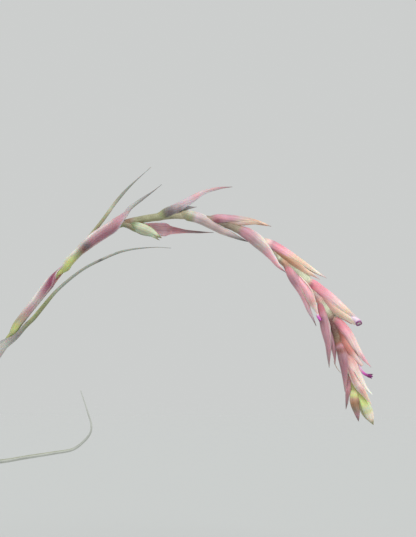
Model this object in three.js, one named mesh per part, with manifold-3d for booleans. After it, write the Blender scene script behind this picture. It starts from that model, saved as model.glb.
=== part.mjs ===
// Baileyi air plant: a bulb of inflated leaf sheaths, rolled contorted leaves and an arching flower spike.
// Millimetres, +Z up. The origin is the middle of the rootstock's flat foot, on the surface it rests on.
// The spike arches in the plane Y = 0, from the bulb towards +X.
import * as THREE from 'three';
import { mergeVertices } from 'three/addons/utils/BufferGeometryUtils.js';
import Module from 'manifold-3d';

const wasm = await Module();
wasm.setup();

// Thickness of leaves and bracts, and the clearance between pieces that lie on each other
const WALL = 0.62;
const GAP = 0.3;
const TIP_RADIUS = 0.36;
const SMALLEST_HOLLOW = 0.15;

// Bulb: its outline, how far it leans towards +X for each millimetre of height, and its layers
const BULB_RADIUS = 15;
const BULB_BOTTOM_RADIUS = 8;
const GIRTH_HEIGHT = 17;
const NECK_RADIUS = 4.4;
const NECK_HEIGHT = 42;
const LEAN = 0.3;
const FOOT_RADIUS = 6.2;
const ROOTSTOCK_TOP = 24;
const ROOTSTOCK_EASE = 0.3;

// Root stubs: wires on the ground round the rootstock, each turned, bent and as long as its number says
const ROOTS = 6;
const ROOT_FIRST_TURN = 20;
const ROOT_TURN = 77;
const ROOT_BEND = 18;
const ROOT_REACH = 12;
const ROOT_REACH_CHANGE = 1.5;
const ROOT_RADIUS = 0.5;
const ROOT_END_RADIUS = 0.32;

// Leaves: the first is the lowest and outermost, and each next one stands about 3/8 of a turn further on
const FIRST_TURN = -35;
const LEAF_TURN = 137.5;
const SHEATH_BOTTOM = 2.6;
const SHEATH_BOTTOM_STEP = 1.1;
const SHEATH_TOP = 18;
const SHEATH_TOP_STEP = 2.4;
const SHEATH_SPREAD = 118;
const SHEATH_END_HALF_WIDTH = 4;
const SHEATH_NARROWS_FROM = 0.25;
const SHEATH_ROWS = 6;
const BLADE_ROWS = 15;
const BLADE_ROW_EVENNESS = 0.45;

// Room that a layer takes: wall, gap and the sag of its facets, from just below its sheath to above it
const LAYER_GAP = 0.3;
const FACET_SAG = 0.044;
const ROOM_BEGINS_BELOW = 2.8;
const ROOM_WHOLE_BELOW = 0.8;
const ROOM_ENDS_BELOW = 2;
const ROOM_GONE_ABOVE = 7;

// Blades: half their arc in degrees where they are rolled, and how soon they roll up above the sheath
const BLADE_SPREAD = 112;
const ROLL_LENGTH = 13;

// Points across a leaf, a bract and a rolled scape bract
const LEAF_COLUMNS = 8;
const BRACT_COLUMNS = 6;
const SHEATH_COLUMNS = 8;

const point = (x, y, z) => new THREE.Vector3(x, y, z);
const mix = THREE.MathUtils.lerp;
const rad = THREE.MathUtils.degToRad;
const rise = (value, from, to) => THREE.MathUtils.smoothstep(value, from, to);
const curveThrough = (points) => new THREE.CatmullRomCurve3(points, false, 'centripetal');
const inPlane = (pairs) => pairs.map(([x, z]) => point(x, 0, z));

// Solids from grids of points

/** Closed solid between an outer and an inner grid: rows along the piece, columns across it. */
function shell(rows) {
  const columns = rows[0].outer.length;
  const last = rows.length - 1;
  const positions = rows.flatMap((row) => [...row.outer, ...row.inner]).flatMap((p) => p.toArray());
  const index = [];
  const outer = (i, j) => i * 2 * columns + j;
  const inner = (i, j) => outer(i, j) + columns;
  const quad = (a, b, c, d) => index.push(a, b, c, a, c, d);
  for (let i = 0; i < last; i++) {
    for (let j = 0; j + 1 < columns; j++) {
      quad(outer(i, j), outer(i, j + 1), outer(i + 1, j + 1), outer(i + 1, j));
      quad(inner(i + 1, j + 1), inner(i, j + 1), inner(i, j), inner(i + 1, j));
    }
    quad(outer(i, 0), outer(i + 1, 0), inner(i + 1, 0), inner(i, 0));
    const j = columns - 1;
    quad(outer(i, j), inner(i, j), inner(i + 1, j), outer(i + 1, j));
  }
  for (let j = 0; j + 1 < columns; j++) {
    quad(outer(0, j), inner(0, j), inner(0, j + 1), outer(0, j + 1));
    quad(outer(last, j), outer(last, j + 1), inner(last, j + 1), inner(last, j));
  }
  const geometry = new THREE.BufferGeometry();
  geometry.setAttribute('position', new THREE.Float32BufferAttribute(positions, 3));
  geometry.setIndex(index);
  return geometry;
}

/** One row of a shell: an arc about a centre, its middle on the back of the piece. */
function arcRow(centre, back, side, radius, spread, columns, wall = WALL) {
  const row = { outer: [], inner: [] };
  const hollow = Math.max(radius - wall, SMALLEST_HOLLOW);
  for (let j = 0; j < columns; j++) {
    const turn = mix(-spread, spread, j / (columns - 1));
    const ray = back.clone().multiplyScalar(Math.cos(turn)).addScaledVector(side, Math.sin(turn));
    row.outer.push(centre.clone().addScaledVector(ray, radius));
    row.inner.push(centre.clone().addScaledVector(ray, hollow));
  }
  return row;
}

/** Round rod with a radius of its own at each station, closed by a fan at each end. */
function rod(curve, steps, sides, radiusAt) {
  const positions = [];
  const index = [];
  let back = null;
  for (let i = 0; i <= steps; i++) {
    const t = i / steps;
    const centre = curve.getPointAt(t);
    const along = curve.getTangentAt(t);
    back = (back ?? perpendicular(along)).clone().projectOnPlane(along).normalize();
    const side = along.clone().cross(back);
    for (let j = 0; j < sides; j++) {
      const turn = (2 * Math.PI * j) / sides;
      const p = centre.clone().addScaledVector(back, radiusAt(t) * Math.cos(turn));
      p.addScaledVector(side, radiusAt(t) * Math.sin(turn));
      positions.push(...p.toArray());
      const next = (j + 1) % sides;
      const a = i * sides;
      if (i < steps) index.push(a + j, a + next, a + sides + next, a + j, a + sides + next, a + sides + j);
    }
  }
  const first = positions.length / 3;
  positions.push(...curve.getPointAt(0).toArray(), ...curve.getPointAt(1).toArray());
  for (let j = 0; j < sides; j++) {
    const next = (j + 1) % sides;
    index.push(first, next, j, first + 1, steps * sides + j, steps * sides + next);
  }
  const geometry = new THREE.BufferGeometry();
  geometry.setAttribute('position', new THREE.Float32BufferAttribute(positions, 3));
  geometry.setIndex(index);
  return geometry;
}

/** A direction square to a rod's first tangent, level where it can be. */
function perpendicular(along) {
  const level = point(0, 1, 0).projectOnPlane(along);
  return level.lengthSq() > 0.1 ? level.normalize() : point(1, 0, 0).projectOnPlane(along).normalize();
}

/** A geometry as a solid that can be joined and cut. */
function solid(geometry) {
  const bare = geometry.clone();
  bare.deleteAttribute('normal');
  bare.deleteAttribute('uv');
  const merged = mergeVertices(bare, 1e-4);
  const vertProperties = new Float32Array(merged.attributes.position.array);
  const triVerts = new Uint32Array(merged.index.array);
  return new wasm.Manifold(new wasm.Mesh({ numProp: 3, vertProperties, triVerts }));
}

/** A joined or cut solid as a geometry again. */
function geometryOf(body) {
  const mesh = body.getMesh();
  const geometry = new THREE.BufferGeometry();
  geometry.setAttribute('position', new THREE.BufferAttribute(new Float32Array(mesh.vertProperties), 3));
  geometry.setIndex(new THREE.BufferAttribute(new Uint32Array(mesh.triVerts), 1));
  return geometry;
}

const plant = new THREE.Group();

function add(name, geometry, color, roughness = 0.75) {
  const material = new THREE.MeshStandardMaterial({ color, roughness, metalness: 0 });
  const mesh = new THREE.Mesh(geometry, material);
  mesh.name = name;
  plant.add(mesh);
}

// The scape and its rachis: points [x, z, radius] from inside the bulb to the tip of the spike
const SCAPE = [
  [5.4, 18, 1.7], [8.7, 29, 1.5], [11.4, 38, 1.15], [14.2, 46, 1.0], [19, 55, 0.8], [27, 69, 0.7],
  [36, 83.2, 0.62], [49.1, 100.8, 0.6], [58.7, 112.3, 0.6], [68.4, 121.7, 0.6], [76.5, 126.8, 0.7],
  [82, 128.8, 1.05], [90, 130.5, 1.0], [100.8, 131.5, 1.0], [111, 129.8, 1.0], [122, 126.2, 1.0],
  [133.9, 117.9, 1.0], [144.4, 109, 1.0], [151.9, 99.4, 0.95], [156.6, 90, 0.85], [159.8, 79.9, 0.75],
  [163.2, 70, 0.6],
];
const scapeCurve = curveThrough(inPlane(SCAPE));
const SCAPE_SAMPLES = 400;
const scapeSamples = Array.from({ length: SCAPE_SAMPLES + 1 }, (_, i) => {
  const t = i / SCAPE_SAMPLES;
  return { at: scapeCurve.getPoint(t), radius: scapeRadius(t) };
});

/** Radius of the scape, read between its points. */
function scapeRadius(t) {
  const place = t * (SCAPE.length - 1);
  const i = Math.min(Math.floor(place), SCAPE.length - 2);
  return mix(SCAPE[i][2], SCAPE[i + 1][2], place - i);
}

function nearestOnScape(p) {
  return scapeSamples.reduce((a, b) => (b.at.distanceTo(p) < a.at.distanceTo(p) ? b : a));
}

/** The scape as a rod, thicker all round by a clearance where something is cut clear of it. */
function scapeRod(clearance, steps, sides) {
  const grown = (t) => nearestOnScape(scapeCurve.getPointAt(t)).radius + clearance;
  return rod(scapeCurve, steps, sides, grown);
}

// Bulb: each sheath lies one layer further in than the one below it on the stem
const LEAF_PATHS = [
  [[23, -13, 20.5], [30, -20, 15], [37, -28, 6], [44, -36, 0.1], [54, -45, 0.2], [64, -50, 5], [71, -50, 12]],
  [[1, 20, 22], [-4, 29, 16], [-8, 38, 6], [-11, 47, 0.1], [-10, 58, 0.4], [-4, 67, 5], [3, 70, 13],
    [9, 66, 20]],
  [[-3, -17, 25], [-9, -27, 20], [-14, -37, 9], [-20, -46, 0.2], [-30, -54, 0.6], [-42, -56, 7],
    [-50, -50, 15], [-51, -40, 22]],
  [[22.5, 7.5, 26.6], [27.5, 15, 21], [31, 23, 11], [33.5, 32, 2.2], [38, 42, -0.1], [45, 49, 1.2],
    [52, 50, 5]],
  [[-6, 7, 31], [-17, 12, 34], [-31, 18, 31], [-45, 22, 22], [-58, 18, 16], [-68, 8, 18], [-70, -5, 26],
    [-64, -12, 34], [-55, -9, 39]],
  [[14, -13, 34], [17, -24, 38], [18, -38, 38], [14, -52, 33], [6, -64, 30], [-6, -70, 34], [-14, -66, 43],
    [-14, -56, 50], [-6, -50, 51]],
  [[14, 11, 38], [16, 21, 46], [14, 34, 52], [8, 47, 52], [-3, 57, 48], [-15, 60, 50], [-22, 54, 59],
    [-20, 44, 66], [-11, 40, 69]],
  [[0, -6, 41], [-9, -12, 50], [-21, -17, 57], [-36, -19, 60], [-50, -14, 58], [-60, -4, 60], [-61, 8, 69],
    [-55, 16, 76], [-46, 15, 80]],
  [[21, -4.2, 40.8], [29, -7.3, 42.6], [37.1, -10, 43], [47.1, -10.8, 44.7], [55.8, -11.6, 46.2],
    [63.4, -12.4, 47.8], [67, -13.2, 50.5], [69.6, -14, 53.8], [70.1, -14.8, 56.8], [68.7, -15.6, 61.9],
    [66.2, -16.4, 69.3]],
  [[8, 7, 49], [2, 14, 62], [-6, 21, 76], [-12, 24, 91], [-11, 20, 106], [-3, 12, 115], [6, 6, 113],
    [9, 3, 105]],
];
const LEAF_RADII = [1.8, 1.8, 1.8, 1.7, 1.7, 1.65, 1.6, 1.6, 0.95, 1.5];
const CURLED_LEAF = 8;
const CURLED_TIP_RADIUS = 0.5;

const axisAt = (z) => point(LEAN * z, 0, z);
const sheathBottom = (i) => SHEATH_BOTTOM + SHEATH_BOTTOM_STEP * i;
const sheathTop = (i) => SHEATH_TOP + SHEATH_TOP_STEP * i;
const layerPitch = (radius) => WALL + LAYER_GAP + FACET_SAG * radius;

function bulbRadius(z) {
  const quarter = Math.PI / 2;
  if (z < GIRTH_HEIGHT) return mix(BULB_BOTTOM_RADIUS, BULB_RADIUS, Math.sin(quarter * (z / GIRTH_HEIGHT)));
  const above = Math.min((z - GIRTH_HEIGHT) / (NECK_HEIGHT - GIRTH_HEIGHT), 1);
  return mix(NECK_RADIUS, BULB_RADIUS, 0.5 + 0.5 * Math.cos(Math.PI * above));
}

/** Radius left inside the first sheaths at a height: a sheath takes room from its bottom to its top. */
function layerRadius(sheaths, z) {
  let radius = bulbRadius(z);
  for (let j = 0; j < sheaths; j++) {
    const begun = rise(z, sheathBottom(j) - ROOM_BEGINS_BELOW, sheathBottom(j) - ROOM_WHOLE_BELOW);
    const gone = rise(z, sheathTop(j) - ROOM_ENDS_BELOW, sheathTop(j) + ROOM_GONE_ABOVE);
    radius -= begun * (1 - gone) * layerPitch(radius);
  }
  return radius;
}

function leaf(i) {
  const turn = rad(FIRST_TURN + LEAF_TURN * i);
  const radial = point(Math.cos(turn), Math.sin(turn), 0);
  const around = point(-Math.sin(turn), Math.cos(turn), 0);
  const bottom = sheathBottom(i);
  const top = sheathTop(i);
  const rows = [];
  for (let k = 0; k < SHEATH_ROWS; k++) {
    const z = mix(bottom, top, k / SHEATH_ROWS);
    const radius = layerRadius(i, z);
    const narrow = SHEATH_END_HALF_WIDTH / radius;
    const spread = mix(rad(SHEATH_SPREAD), narrow, rise(z, mix(bottom, top, SHEATH_NARROWS_FROM), top));
    rows.push(arcRow(axisAt(z), radial, around, radius, spread, LEAF_COLUMNS));
  }
  const onBulb = (z) => axisAt(z).addScaledVector(radial, layerRadius(i, z));
  const blade = curveThrough([onBulb(top - 4), onBulb(top), ...LEAF_PATHS[i].map((p) => point(...p))]);
  const length = blade.getLength();
  const start = onBulb(top - 4).distanceTo(onBulb(top)) / length;
  let back = radial.clone();
  for (let k = 0; k <= BLADE_ROWS; k++) {
    const u = k / BLADE_ROWS;
    const t = mix(start, 1, mix(u * u, u, BLADE_ROW_EVENNESS));
    const along = blade.getTangentAt(t);
    back.projectOnPlane(along).normalize();
    const rolled = rise((t - start) * length, 0, ROLL_LENGTH);
    const tip = i === CURLED_LEAF ? CURLED_TIP_RADIUS : TIP_RADIUS;
    const taper = mix(LEAF_RADII[i], tip, (t - start) / (1 - start));
    const radius = 1 / mix(1 / layerRadius(i, top), 1 / taper, rolled);
    const halfWidth = mix(SHEATH_END_HALF_WIDTH, taper * rad(BLADE_SPREAD), rolled);
    const spread = Math.min(halfWidth / radius, rad(BLADE_SPREAD));
    const centre = blade.getPointAt(t).addScaledVector(back, -radius);
    rows.push(arcRow(centre, back, along.clone().cross(back), radius, spread, LEAF_COLUMNS));
  }
  return shell(rows);
}

LEAF_PATHS.forEach((_, i) => {
  const rested = solid(leaf(i)).trimByPlane([0, 0, 1], 0);
  add(`leaf_${String(i + 1).padStart(2, '0')}`, geometryOf(rested), 0x98a08a);
});

// Stem: rootstock with its flat foot and wiry root stubs, and the scape that grows out of its top
function rootstock() {
  const profile = [new THREE.Vector2(0, 0), new THREE.Vector2(FOOT_RADIUS, 0)];
  const room = (z) => layerRadius(LEAF_PATHS.length, z) - ROOTSTOCK_EASE;
  for (let z = 1; z <= 19; z += 2) profile.push(new THREE.Vector2(room(z), z));
  profile.push(new THREE.Vector2(2.4, 22), new THREE.Vector2(0, ROOTSTOCK_TOP));
  const geometry = new THREE.LatheGeometry(profile, 16).rotateX(Math.PI / 2);
  const shear = new THREE.Matrix4().set(1, 0, LEAN, 0, 0, 1, 0, 0, 0, 0, 1, 0, 0, 0, 0, 1);
  return geometry.applyMatrix4(shear);
}

function rootStub(i) {
  const turn = rad(ROOT_FIRST_TURN + ROOT_TURN * i);
  const reach = ROOT_REACH + ROOT_REACH_CHANGE * Math.sin(2.3 * i);
  const bend = rad(ROOT_BEND * Math.cos(1.7 * i));
  const at = (r, extra, z) => point(r * Math.cos(turn + extra), r * Math.sin(turn + extra), z);
  const path = curveThrough([at(4.5, 0, 1), at(8, bend / 2, 0.8), at(reach, bend, 0.3)]);
  return rod(path, 4, 5, (t) => mix(ROOT_RADIUS, ROOT_END_RADIUS, t));
}

let stem = solid(rootstock()).add(solid(scapeRod(0, 50, 8)));
for (let i = 0; i < ROOTS; i++) stem = stem.add(solid(rootStub(i)));
add('stem', geometryOf(stem.trimByPlane([0, 0, 1], 0)), 0x9aa46c);

// Bracts: arcs that clasp the scape at their foot and swing out from it along a path [x, z] or [x, y, z].
// side +1 is the outside of the arch and -1 the inside; facing turns the back towards -Y, in degrees.
const scapeClearance = solid(scapeRod(GAP, 90, 8));
const placed = (p) => (p.length === 2 ? point(p[0], 0, p[1]) : point(...p));
const pathCurve = (path) => curveThrough(path.map(placed));

/** A floral bract's stations: [place along it, radius, spread, facing], from its foot to its tip. */
function floralStations({ girth, foot = 2.02, tip = TIP_RADIUS, spread = 104, footSpread = spread,
  belly = 0.35, facing = 0, rows = 9 }) {
  return Array.from({ length: rows + 1 }, (_, k) => {
    const u = k / rows;
    const swell = mix(foot, girth, rise(u, 0, belly));
    const taper = Math.pow(Math.max(0, (u - belly) / (1 - belly)), 1.5);
    return [u, mix(swell, tip, taper), mix(footSpread, spread, rise(u, 0, belly)), facing];
  });
}

/** Bract solid through its stations; a clearance makes it thicker all round, to cut its neighbours with. */
function bract({ path, side, stations, ...shape }, clearance = 0) {
  const curve = pathCurve(path);
  const columns = stations ? SHEATH_COLUMNS : BRACT_COLUMNS;
  const rows = (stations ?? floralStations(shape)).map(([u, radius, spread, facing]) => {
    const along = curve.getTangentAt(u);
    const outside = point(-along.z, 0, along.x).normalize().multiplyScalar(side * Math.cos(rad(facing)));
    const back = outside.add(point(0, -Math.sin(rad(facing)), 0)).projectOnPlane(along).normalize();
    const centre = standOff(curve.getPointAt(u), back, radius - WALL);
    const turn = rad(spread) + clearance / radius;
    const across = along.clone().cross(back);
    return arcRow(centre, back, across, radius + clearance, turn, columns, WALL + 2 * clearance);
  });
  return solid(shell(rows)).subtract(scapeClearance);
}

/** Moves a station out along the back of its bract until the hollow under it clears the scape. */
function standOff(centre, back, hollow) {
  const near = nearestOnScape(centre);
  const distance = centre.clone().sub(near.at).dot(back);
  const least = Math.max(0, near.radius + GAP - Math.max(hollow, SMALLEST_HOLLOW));
  return centre.clone().addScaledVector(back, Math.max(0, least - distance));
}

/** The largest piece of a solid, without scraps that a cut left loose. */
function largest(body) {
  return body.decompose().reduce((a, b) => (b.volume() > a.volume() ? b : a));
}

const PINK = 0xd592a2;
const MAUVE = 0xb98d9c;
const CREAM = 0xe3c6a4;
const LILAC = 0xc3b0b6;
const GREEN = 0xc6cfa6;
const GREY_GREEN = 0x8f978a;
const PURPLE = 0x8e3aa0;
const BROWN = 0x8d7350;

// Scape bracts: a sheath rolled round the scape, then a thin blade
const SCAPE_BRACTS = {
  scape_bract_1: {
    path: [[16.5, 50.4], [27, 69], [36, 83.2], [40.3, 88.6], [43.9, 91], [47.2, 94.3], [50.8, 98.2],
      [56.2, 104.4], [65.2, 111.8], [72.4, 115.3], [80.6, 118.5], [92.2, 120], [98.3, 119]],
    side: -1,
    stations: [[0, 1.92, 120, 0], [0.1, 1.78, 150, 0], [0.2, 1.72, 150, 0], [0.3, 1.66, 150, 0],
      [0.36, 1.62, 85, 0], [0.4, 1.6, 82, 0], [0.43, 1.35, 82, 0], [0.46, 1.1, 84, 0], [0.5, 0.85, 92, 0],
      [0.56, 0.72, 100, 0], [0.64, 0.62, 104, 0], [0.72, 0.56, 104, 0], [0.8, 0.52, 104, 0],
      [0.9, 0.44, 104, 0], [1, 0.36, 104, 0]],
    color: GREY_GREEN },
  scape_bract_2: {
    path: [[39.6, 88.1], [49.1, 100.8], [54.4, 107.4], [58.7, 0.3, 112.6], [61, 1.3, 116.4],
      [64.3, 2.1, 120.4], [68.1, 2, 124.4], [72.7, 1.2, 129.6], [77.4, 0.8, 135.7], [82.1, 0.4, 141.1],
      [90.4, 0, 148.7]],
    side: 1,
    stations: [[0, 1.6, 78, 0], [0.05, 1.6, 82, 0], [0.1, 1.6, 145, -15], [0.2, 1.6, 150, -30],
      [0.28, 1.6, 150, -40], [0.33, 1.6, 84, -50], [0.37, 1.45, 80, -50], [0.41, 1.2, 80, -50],
      [0.46, 0.8, 84, -50], [0.54, 0.6, 90, -40], [0.62, 0.58, 100, -30], [0.72, 0.56, 104, -20],
      [0.82, 0.5, 104, -10], [0.91, 0.44, 104, 0], [1, 0.34, 104, 0]],
    color: PINK },
  scape_bract_3: {
    path: [[58.2, 111.8], [63, 116.8], [68.4, 121.7], [73, 125.2], [76.4, 127.9], [79, 130.4],
      [83.7, 134.4], [88.2, 138], [94, 142.4]],
    side: 1,
    stations: [[0, 1.6, 78, 130], [0.08, 1.6, 82, 125], [0.16, 1.6, 140, 100], [0.26, 1.6, 145, 70],
      [0.36, 1.6, 145, 30], [0.44, 1.6, 130, 10], [0.5, 1.4, 86, 0], [0.56, 1.15, 84, 0],
      [0.63, 0.85, 88, 0], [0.72, 0.65, 96, 0], [0.82, 0.52, 100, 0], [0.91, 0.44, 100, 0],
      [1, 0.34, 100, 0]],
    color: PINK },
};

const FLORAL_BRACTS = {
  floral_bract_01: { path: [[84.6, 1.6, 126.9], [89, 2.4, 126.6], [94.7, 2, 126.4], [99.4, 1.8, 125.8],
    [106.6, 2, 125.2], [112.9, 2.4, 125]], side: -1, facing: -70, foot: 0.8, girth: 2.4, color: PINK },
  floral_bract_02: { path: [[94, 131.1], [97.2, 133.1], [100.8, 135], [105.5, 137.9], [110.5, 140],
    [119.5, 141.6]], side: 1, girth: 1.6, color: PINK },
  floral_bract_03: { path: [[103, 131.2], [109.8, 129.4], [113.4, 126.8], [118.8, -0.3, 123.9],
    [125.1, -0.5, 121.2]],
    side: -1, facing: 40, girth: 1.95, color: LILAC },
  floral_bract_04: { path: [[111.6, 129.8], [117.4, 130.1], [124.6, 129.5], [128.5, 128.9], [133.7, 127.4]],
    side: 1, facing: -12, footSpread: 74, girth: 1.7, color: PINK },
  floral_bract_05: { path: [[122, 126.2], [126, -0.2, 123.8], [130.7, -0.6, 120.2], [134, -1.1, 116.4],
    [136, -1.6, 113.2], [137.7, -1.9, 109.8]], side: -1, facing: 55, spread: 96, girth: 2.15, color: MAUVE },
  floral_bract_06: { path: [[132.4, 120], [136.4, 119.6], [140.8, 116.9], [145.4, 113.4], [149, 111.3],
    [152.8, 109.2]], side: 1, facing: -15, footSpread: 66, girth: 1.85, color: PINK },
  floral_bract_07: { path: [[139.3, 113.4], [141.6, 109], [143.9, 104.6], [146.4, 99.7], [148.1, 95.9],
    [149.2, 91.6]], side: -1, girth: 1.85, color: MAUVE },
  floral_bract_08: { path: [[146.2, 106.9], [151.2, 104.4], [157.3, 99], [163.1, 94.4], [166.7, 92]],
    side: 1, girth: 2.05, tip: 1, color: PINK },
  floral_bract_09: { path: [[151.4, 99.7], [152.2, 95.8], [153, 91.8], [153.7, 87.5], [154.2, 82.8],
    [154, 76.4]], side: -1, girth: 1.85, color: MAUVE },
  floral_bract_10: { path: [[155.5, 93.4], [158.6, 91.8], [161.9, 87], [163.8, 83.2], [166.6, 79.8],
    [169.9, 76.4]], side: 1, girth: 2.05, color: PINK },
  floral_bract_11: { path: [[157.7, 86], [158.3, -0.2, 82.1], [159, -0.5, 77.8], [159.3, -0.9, 73.4],
    [159.2, -1.2, 67.8]], side: -1, facing: 40, footSpread: 90, girth: 1.75, color: MAUVE },
  floral_bract_12: { path: [[160.2, 79.4], [162.8, 77.8], [164.5, 74.5], [166.2, 71.3], [168.2, 68.8],
    [170.3, 66.8]], side: 1, footSpread: 76, girth: 1.6, color: CREAM },
  floral_bract_13: { path: [[161.6, 73.2], [161, 0.6, 69.5], [160.4, 0.6, 65.6], [159.7, 0.3, 61.4]],
    side: -1, facing: -40, foot: 1.6, footSpread: 80, girth: 1.1, color: MAUVE },
  tip_bract: { path: [[163, 69.4], [163.1, 65.5], [163.9, 61.7], [164.9, 57.2]], side: -1, foot: 1.4,
    footSpread: 84, girth: 1.7, color: BROWN },
  node_bract: { path: [[82.4, -0.6, 126.9], [83.6, -1.2, 125.4], [87.1, -1.2, 123.6]], side: -1, foot: 0.8,
    girth: 0.85, rows: 5, color: BROWN },
};
const bracts = { ...SCAPE_BRACTS, ...FLORAL_BRACTS };
for (const [name, spec] of Object.entries(bracts)) add(name, geometryOf(bract(spec)), spec.color);

// Buds, calyces and corollas: round spindles that lie in the hollow of their bract
/** Spindle along a path: thick at its belly and narrow at both ends. */
function spindle({ path, girth, foot = 0.45, tip = 0.3, belly = 0.45, steps = 7, sides = 7 }) {
  const radiusAt = (t) => {
    if (t < belly) return mix(foot, girth, Math.sin((Math.PI / 2) * (t / belly)));
    return mix(tip, girth, Math.cos((Math.PI / 2) * ((t - belly) / (1 - belly))));
  };
  return solid(rod(pathCurve(path), steps, sides, radiusAt));
}

/** A spindle cut clear of the bract that holds it and of the scape. */
function held(spec) {
  const clear = bract(bracts[spec.holder], GAP);
  return largest(spindle(spec).subtract(clear).subtract(scapeClearance));
}

const CALYCES = {
  calyx_02: { holder: 'floral_bract_02', path: [[97.6, 132.9], [101.2, 134], [106.9, 134.6]], girth: 0.85 },
  calyx_04: { holder: 'floral_bract_04', path: [[115.5, 129.6], [123, 128.6], [131, 127.2]], girth: 0.95 },
  calyx_06: { holder: 'floral_bract_06', path: [[136, 119.4], [141, 116], [146, 112.4], [151.2, 109.2]],
    girth: 1.1 },
  calyx_07: { holder: 'floral_bract_07', path: [[142.2, 109], [145, 104.8], [147.6, 100], [149.6, 95.8]],
    girth: 1.1 },
  calyx_08: { holder: 'floral_bract_08', path: [[150.6, 104.4], [156.5, 99.2], [161.6, 95]], girth: 1.15,
    tip: 0.7 },
  calyx_09: { holder: 'floral_bract_09', path: [[153.2, 91.6], [155, 84.6], [155.8, 78]], girth: 0.85 },
  calyx_10: { holder: 'floral_bract_10', path: [[159.4, 90.4], [162.6, 83.5], [165.8, 77.4]], girth: 1.1 },
  calyx_12: { holder: 'floral_bract_12', path: [[163, 76.4], [165.8, 70.6], [169.4, -0.6, 65.2]],
    girth: 0.85 },
};
for (const [name, spec] of Object.entries(CALYCES)) add(name, geometryOf(held(spec)), CREAM);

// The corollas that show: petal tubes that come out past the tips of their calyces and flare at the mouth
const COROLLAS = {
  corolla_07: { holder: 'floral_bract_07',
    path: [[149.6, -0.9, 94.9], [150, -1.7, 93.9], [150.4, -2.3, 92.8]] },
  corolla_08: { holder: 'floral_bract_08',
    path: [[162.1, 94], [164.3, 92.4], [166, 91]], girth: 0.85, tip: 1 },
  corolla_10: { holder: 'floral_bract_10',
    path: [[166.2, 76.5], [166.9, 74.6], [168.4, 73.7], [170.3, 73.9]] },
};
for (const [name, spec] of Object.entries(COROLLAS)) {
  const tube = held({ foot: 0.42, girth: 0.5, tip: 0.75, belly: 0.5, ...spec });
  add(name, geometryOf(tube), PURPLE, 0.6);
}

// The green bud of the lowest bract: three sepals grown together below, each with a tip of its own
const SEPAL_TIPS = [[94.4, -0.8, 122.8], [93.6, -1.5, 121.8], [93, -0.4, 124.2]];
const sepals = SEPAL_TIPS.map((end, i) => {
  const middle = [89.2 - 0.3 * i, -1.1 - 0.3 * Math.cos(2 * i), 125.5 - 0.25 * Math.sin(2 * i)];
  return spindle({ path: [[84.9, -1, 127], middle, end], girth: 1.6, foot: 0.5, tip: 0.2 });
});
const greenBud = sepals.reduce((a, b) => a.add(b)).subtract(scapeClearance);
add('bud_01', geometryOf(largest(greenBud)), GREEN);

// The closed tip of the spike
const TIP_BUD = { holder: 'tip_bract', path: [[164.3, 67.9], [166.4, 64.6], [168.1, 60.8], [169.7, 56.2]] };
add('tip_bud', geometryOf(held({ ...TIP_BUD, girth: 2.1, foot: 0.7, tip: 0.2, belly: 0.4 })), GREEN);

export default plant;
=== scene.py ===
# %% [markdown]
# Baileyi air plant. The plant is a bulb of nested leaf sheaths, long rolled leaves that twist away from it,
# and a thin scape that arches over to the right and carries a pink spike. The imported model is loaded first,
# as a fixed frame: its solids say where everything is. Each solid is then replaced by a finer surface in
# its place.

# %% Load the frame
import bpy
import math
import numpy as np
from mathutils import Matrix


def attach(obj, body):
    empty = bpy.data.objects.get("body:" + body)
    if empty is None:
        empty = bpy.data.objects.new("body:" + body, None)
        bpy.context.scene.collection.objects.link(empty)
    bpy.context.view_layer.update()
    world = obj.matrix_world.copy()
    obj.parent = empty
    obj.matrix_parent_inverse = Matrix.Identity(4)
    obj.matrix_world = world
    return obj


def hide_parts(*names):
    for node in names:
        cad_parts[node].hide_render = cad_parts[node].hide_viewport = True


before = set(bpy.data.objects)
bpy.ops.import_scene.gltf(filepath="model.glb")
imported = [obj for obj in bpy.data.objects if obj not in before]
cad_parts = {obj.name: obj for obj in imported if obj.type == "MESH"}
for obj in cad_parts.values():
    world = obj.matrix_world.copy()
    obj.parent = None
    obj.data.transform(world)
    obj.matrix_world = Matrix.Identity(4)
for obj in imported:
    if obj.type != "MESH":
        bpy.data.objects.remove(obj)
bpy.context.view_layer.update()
print("frame:", len(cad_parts), "nodes")

# %% [markdown]
# Camera. The photograph looks level at the arch of the spike, from the side. It has 416 by 537 pixels, and
# the thickness of the scape says that a pixel is 0.36 mm at the plant. From that and a distance of 700 mm
# follow the focal length and the camera's place, so a point of the plant falls on its own pixel.

# %% Camera
MM = 0.001
PIXEL = 0.36
PHOTO_WIDTH, PHOTO_HEIGHT = 416, 537
LEFT_EDGE_X = 36.0
BOTTOM_EDGE_Z = 15.48
CAMERA_DISTANCE = 700.0
SENSOR = 36.0
NEAREST_SEEN, FARTHEST_SEEN = 10.0, 50000.0

camera_data = bpy.data.cameras.new("camera")
camera_data.sensor_width = SENSOR
camera_data.lens = SENSOR * CAMERA_DISTANCE / (PHOTO_HEIGHT * PIXEL)
camera_data.clip_start = NEAREST_SEEN * MM
camera_data.clip_end = FARTHEST_SEEN * MM
camera = bpy.data.objects.new("camera", camera_data)
middle_x = LEFT_EDGE_X + PHOTO_WIDTH * PIXEL / 2
middle_z = BOTTOM_EDGE_Z + PHOTO_HEIGHT * PIXEL / 2
camera.location = (middle_x * MM, -CAMERA_DISTANCE * MM, middle_z * MM)
camera.rotation_euler = (math.pi / 2, 0, 0)
bpy.context.scene.collection.objects.link(camera)
bpy.context.scene.camera = camera
print("lens", round(camera_data.lens, 1), "mm, looking at", round(middle_x, 1), round(middle_z, 1))
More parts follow.
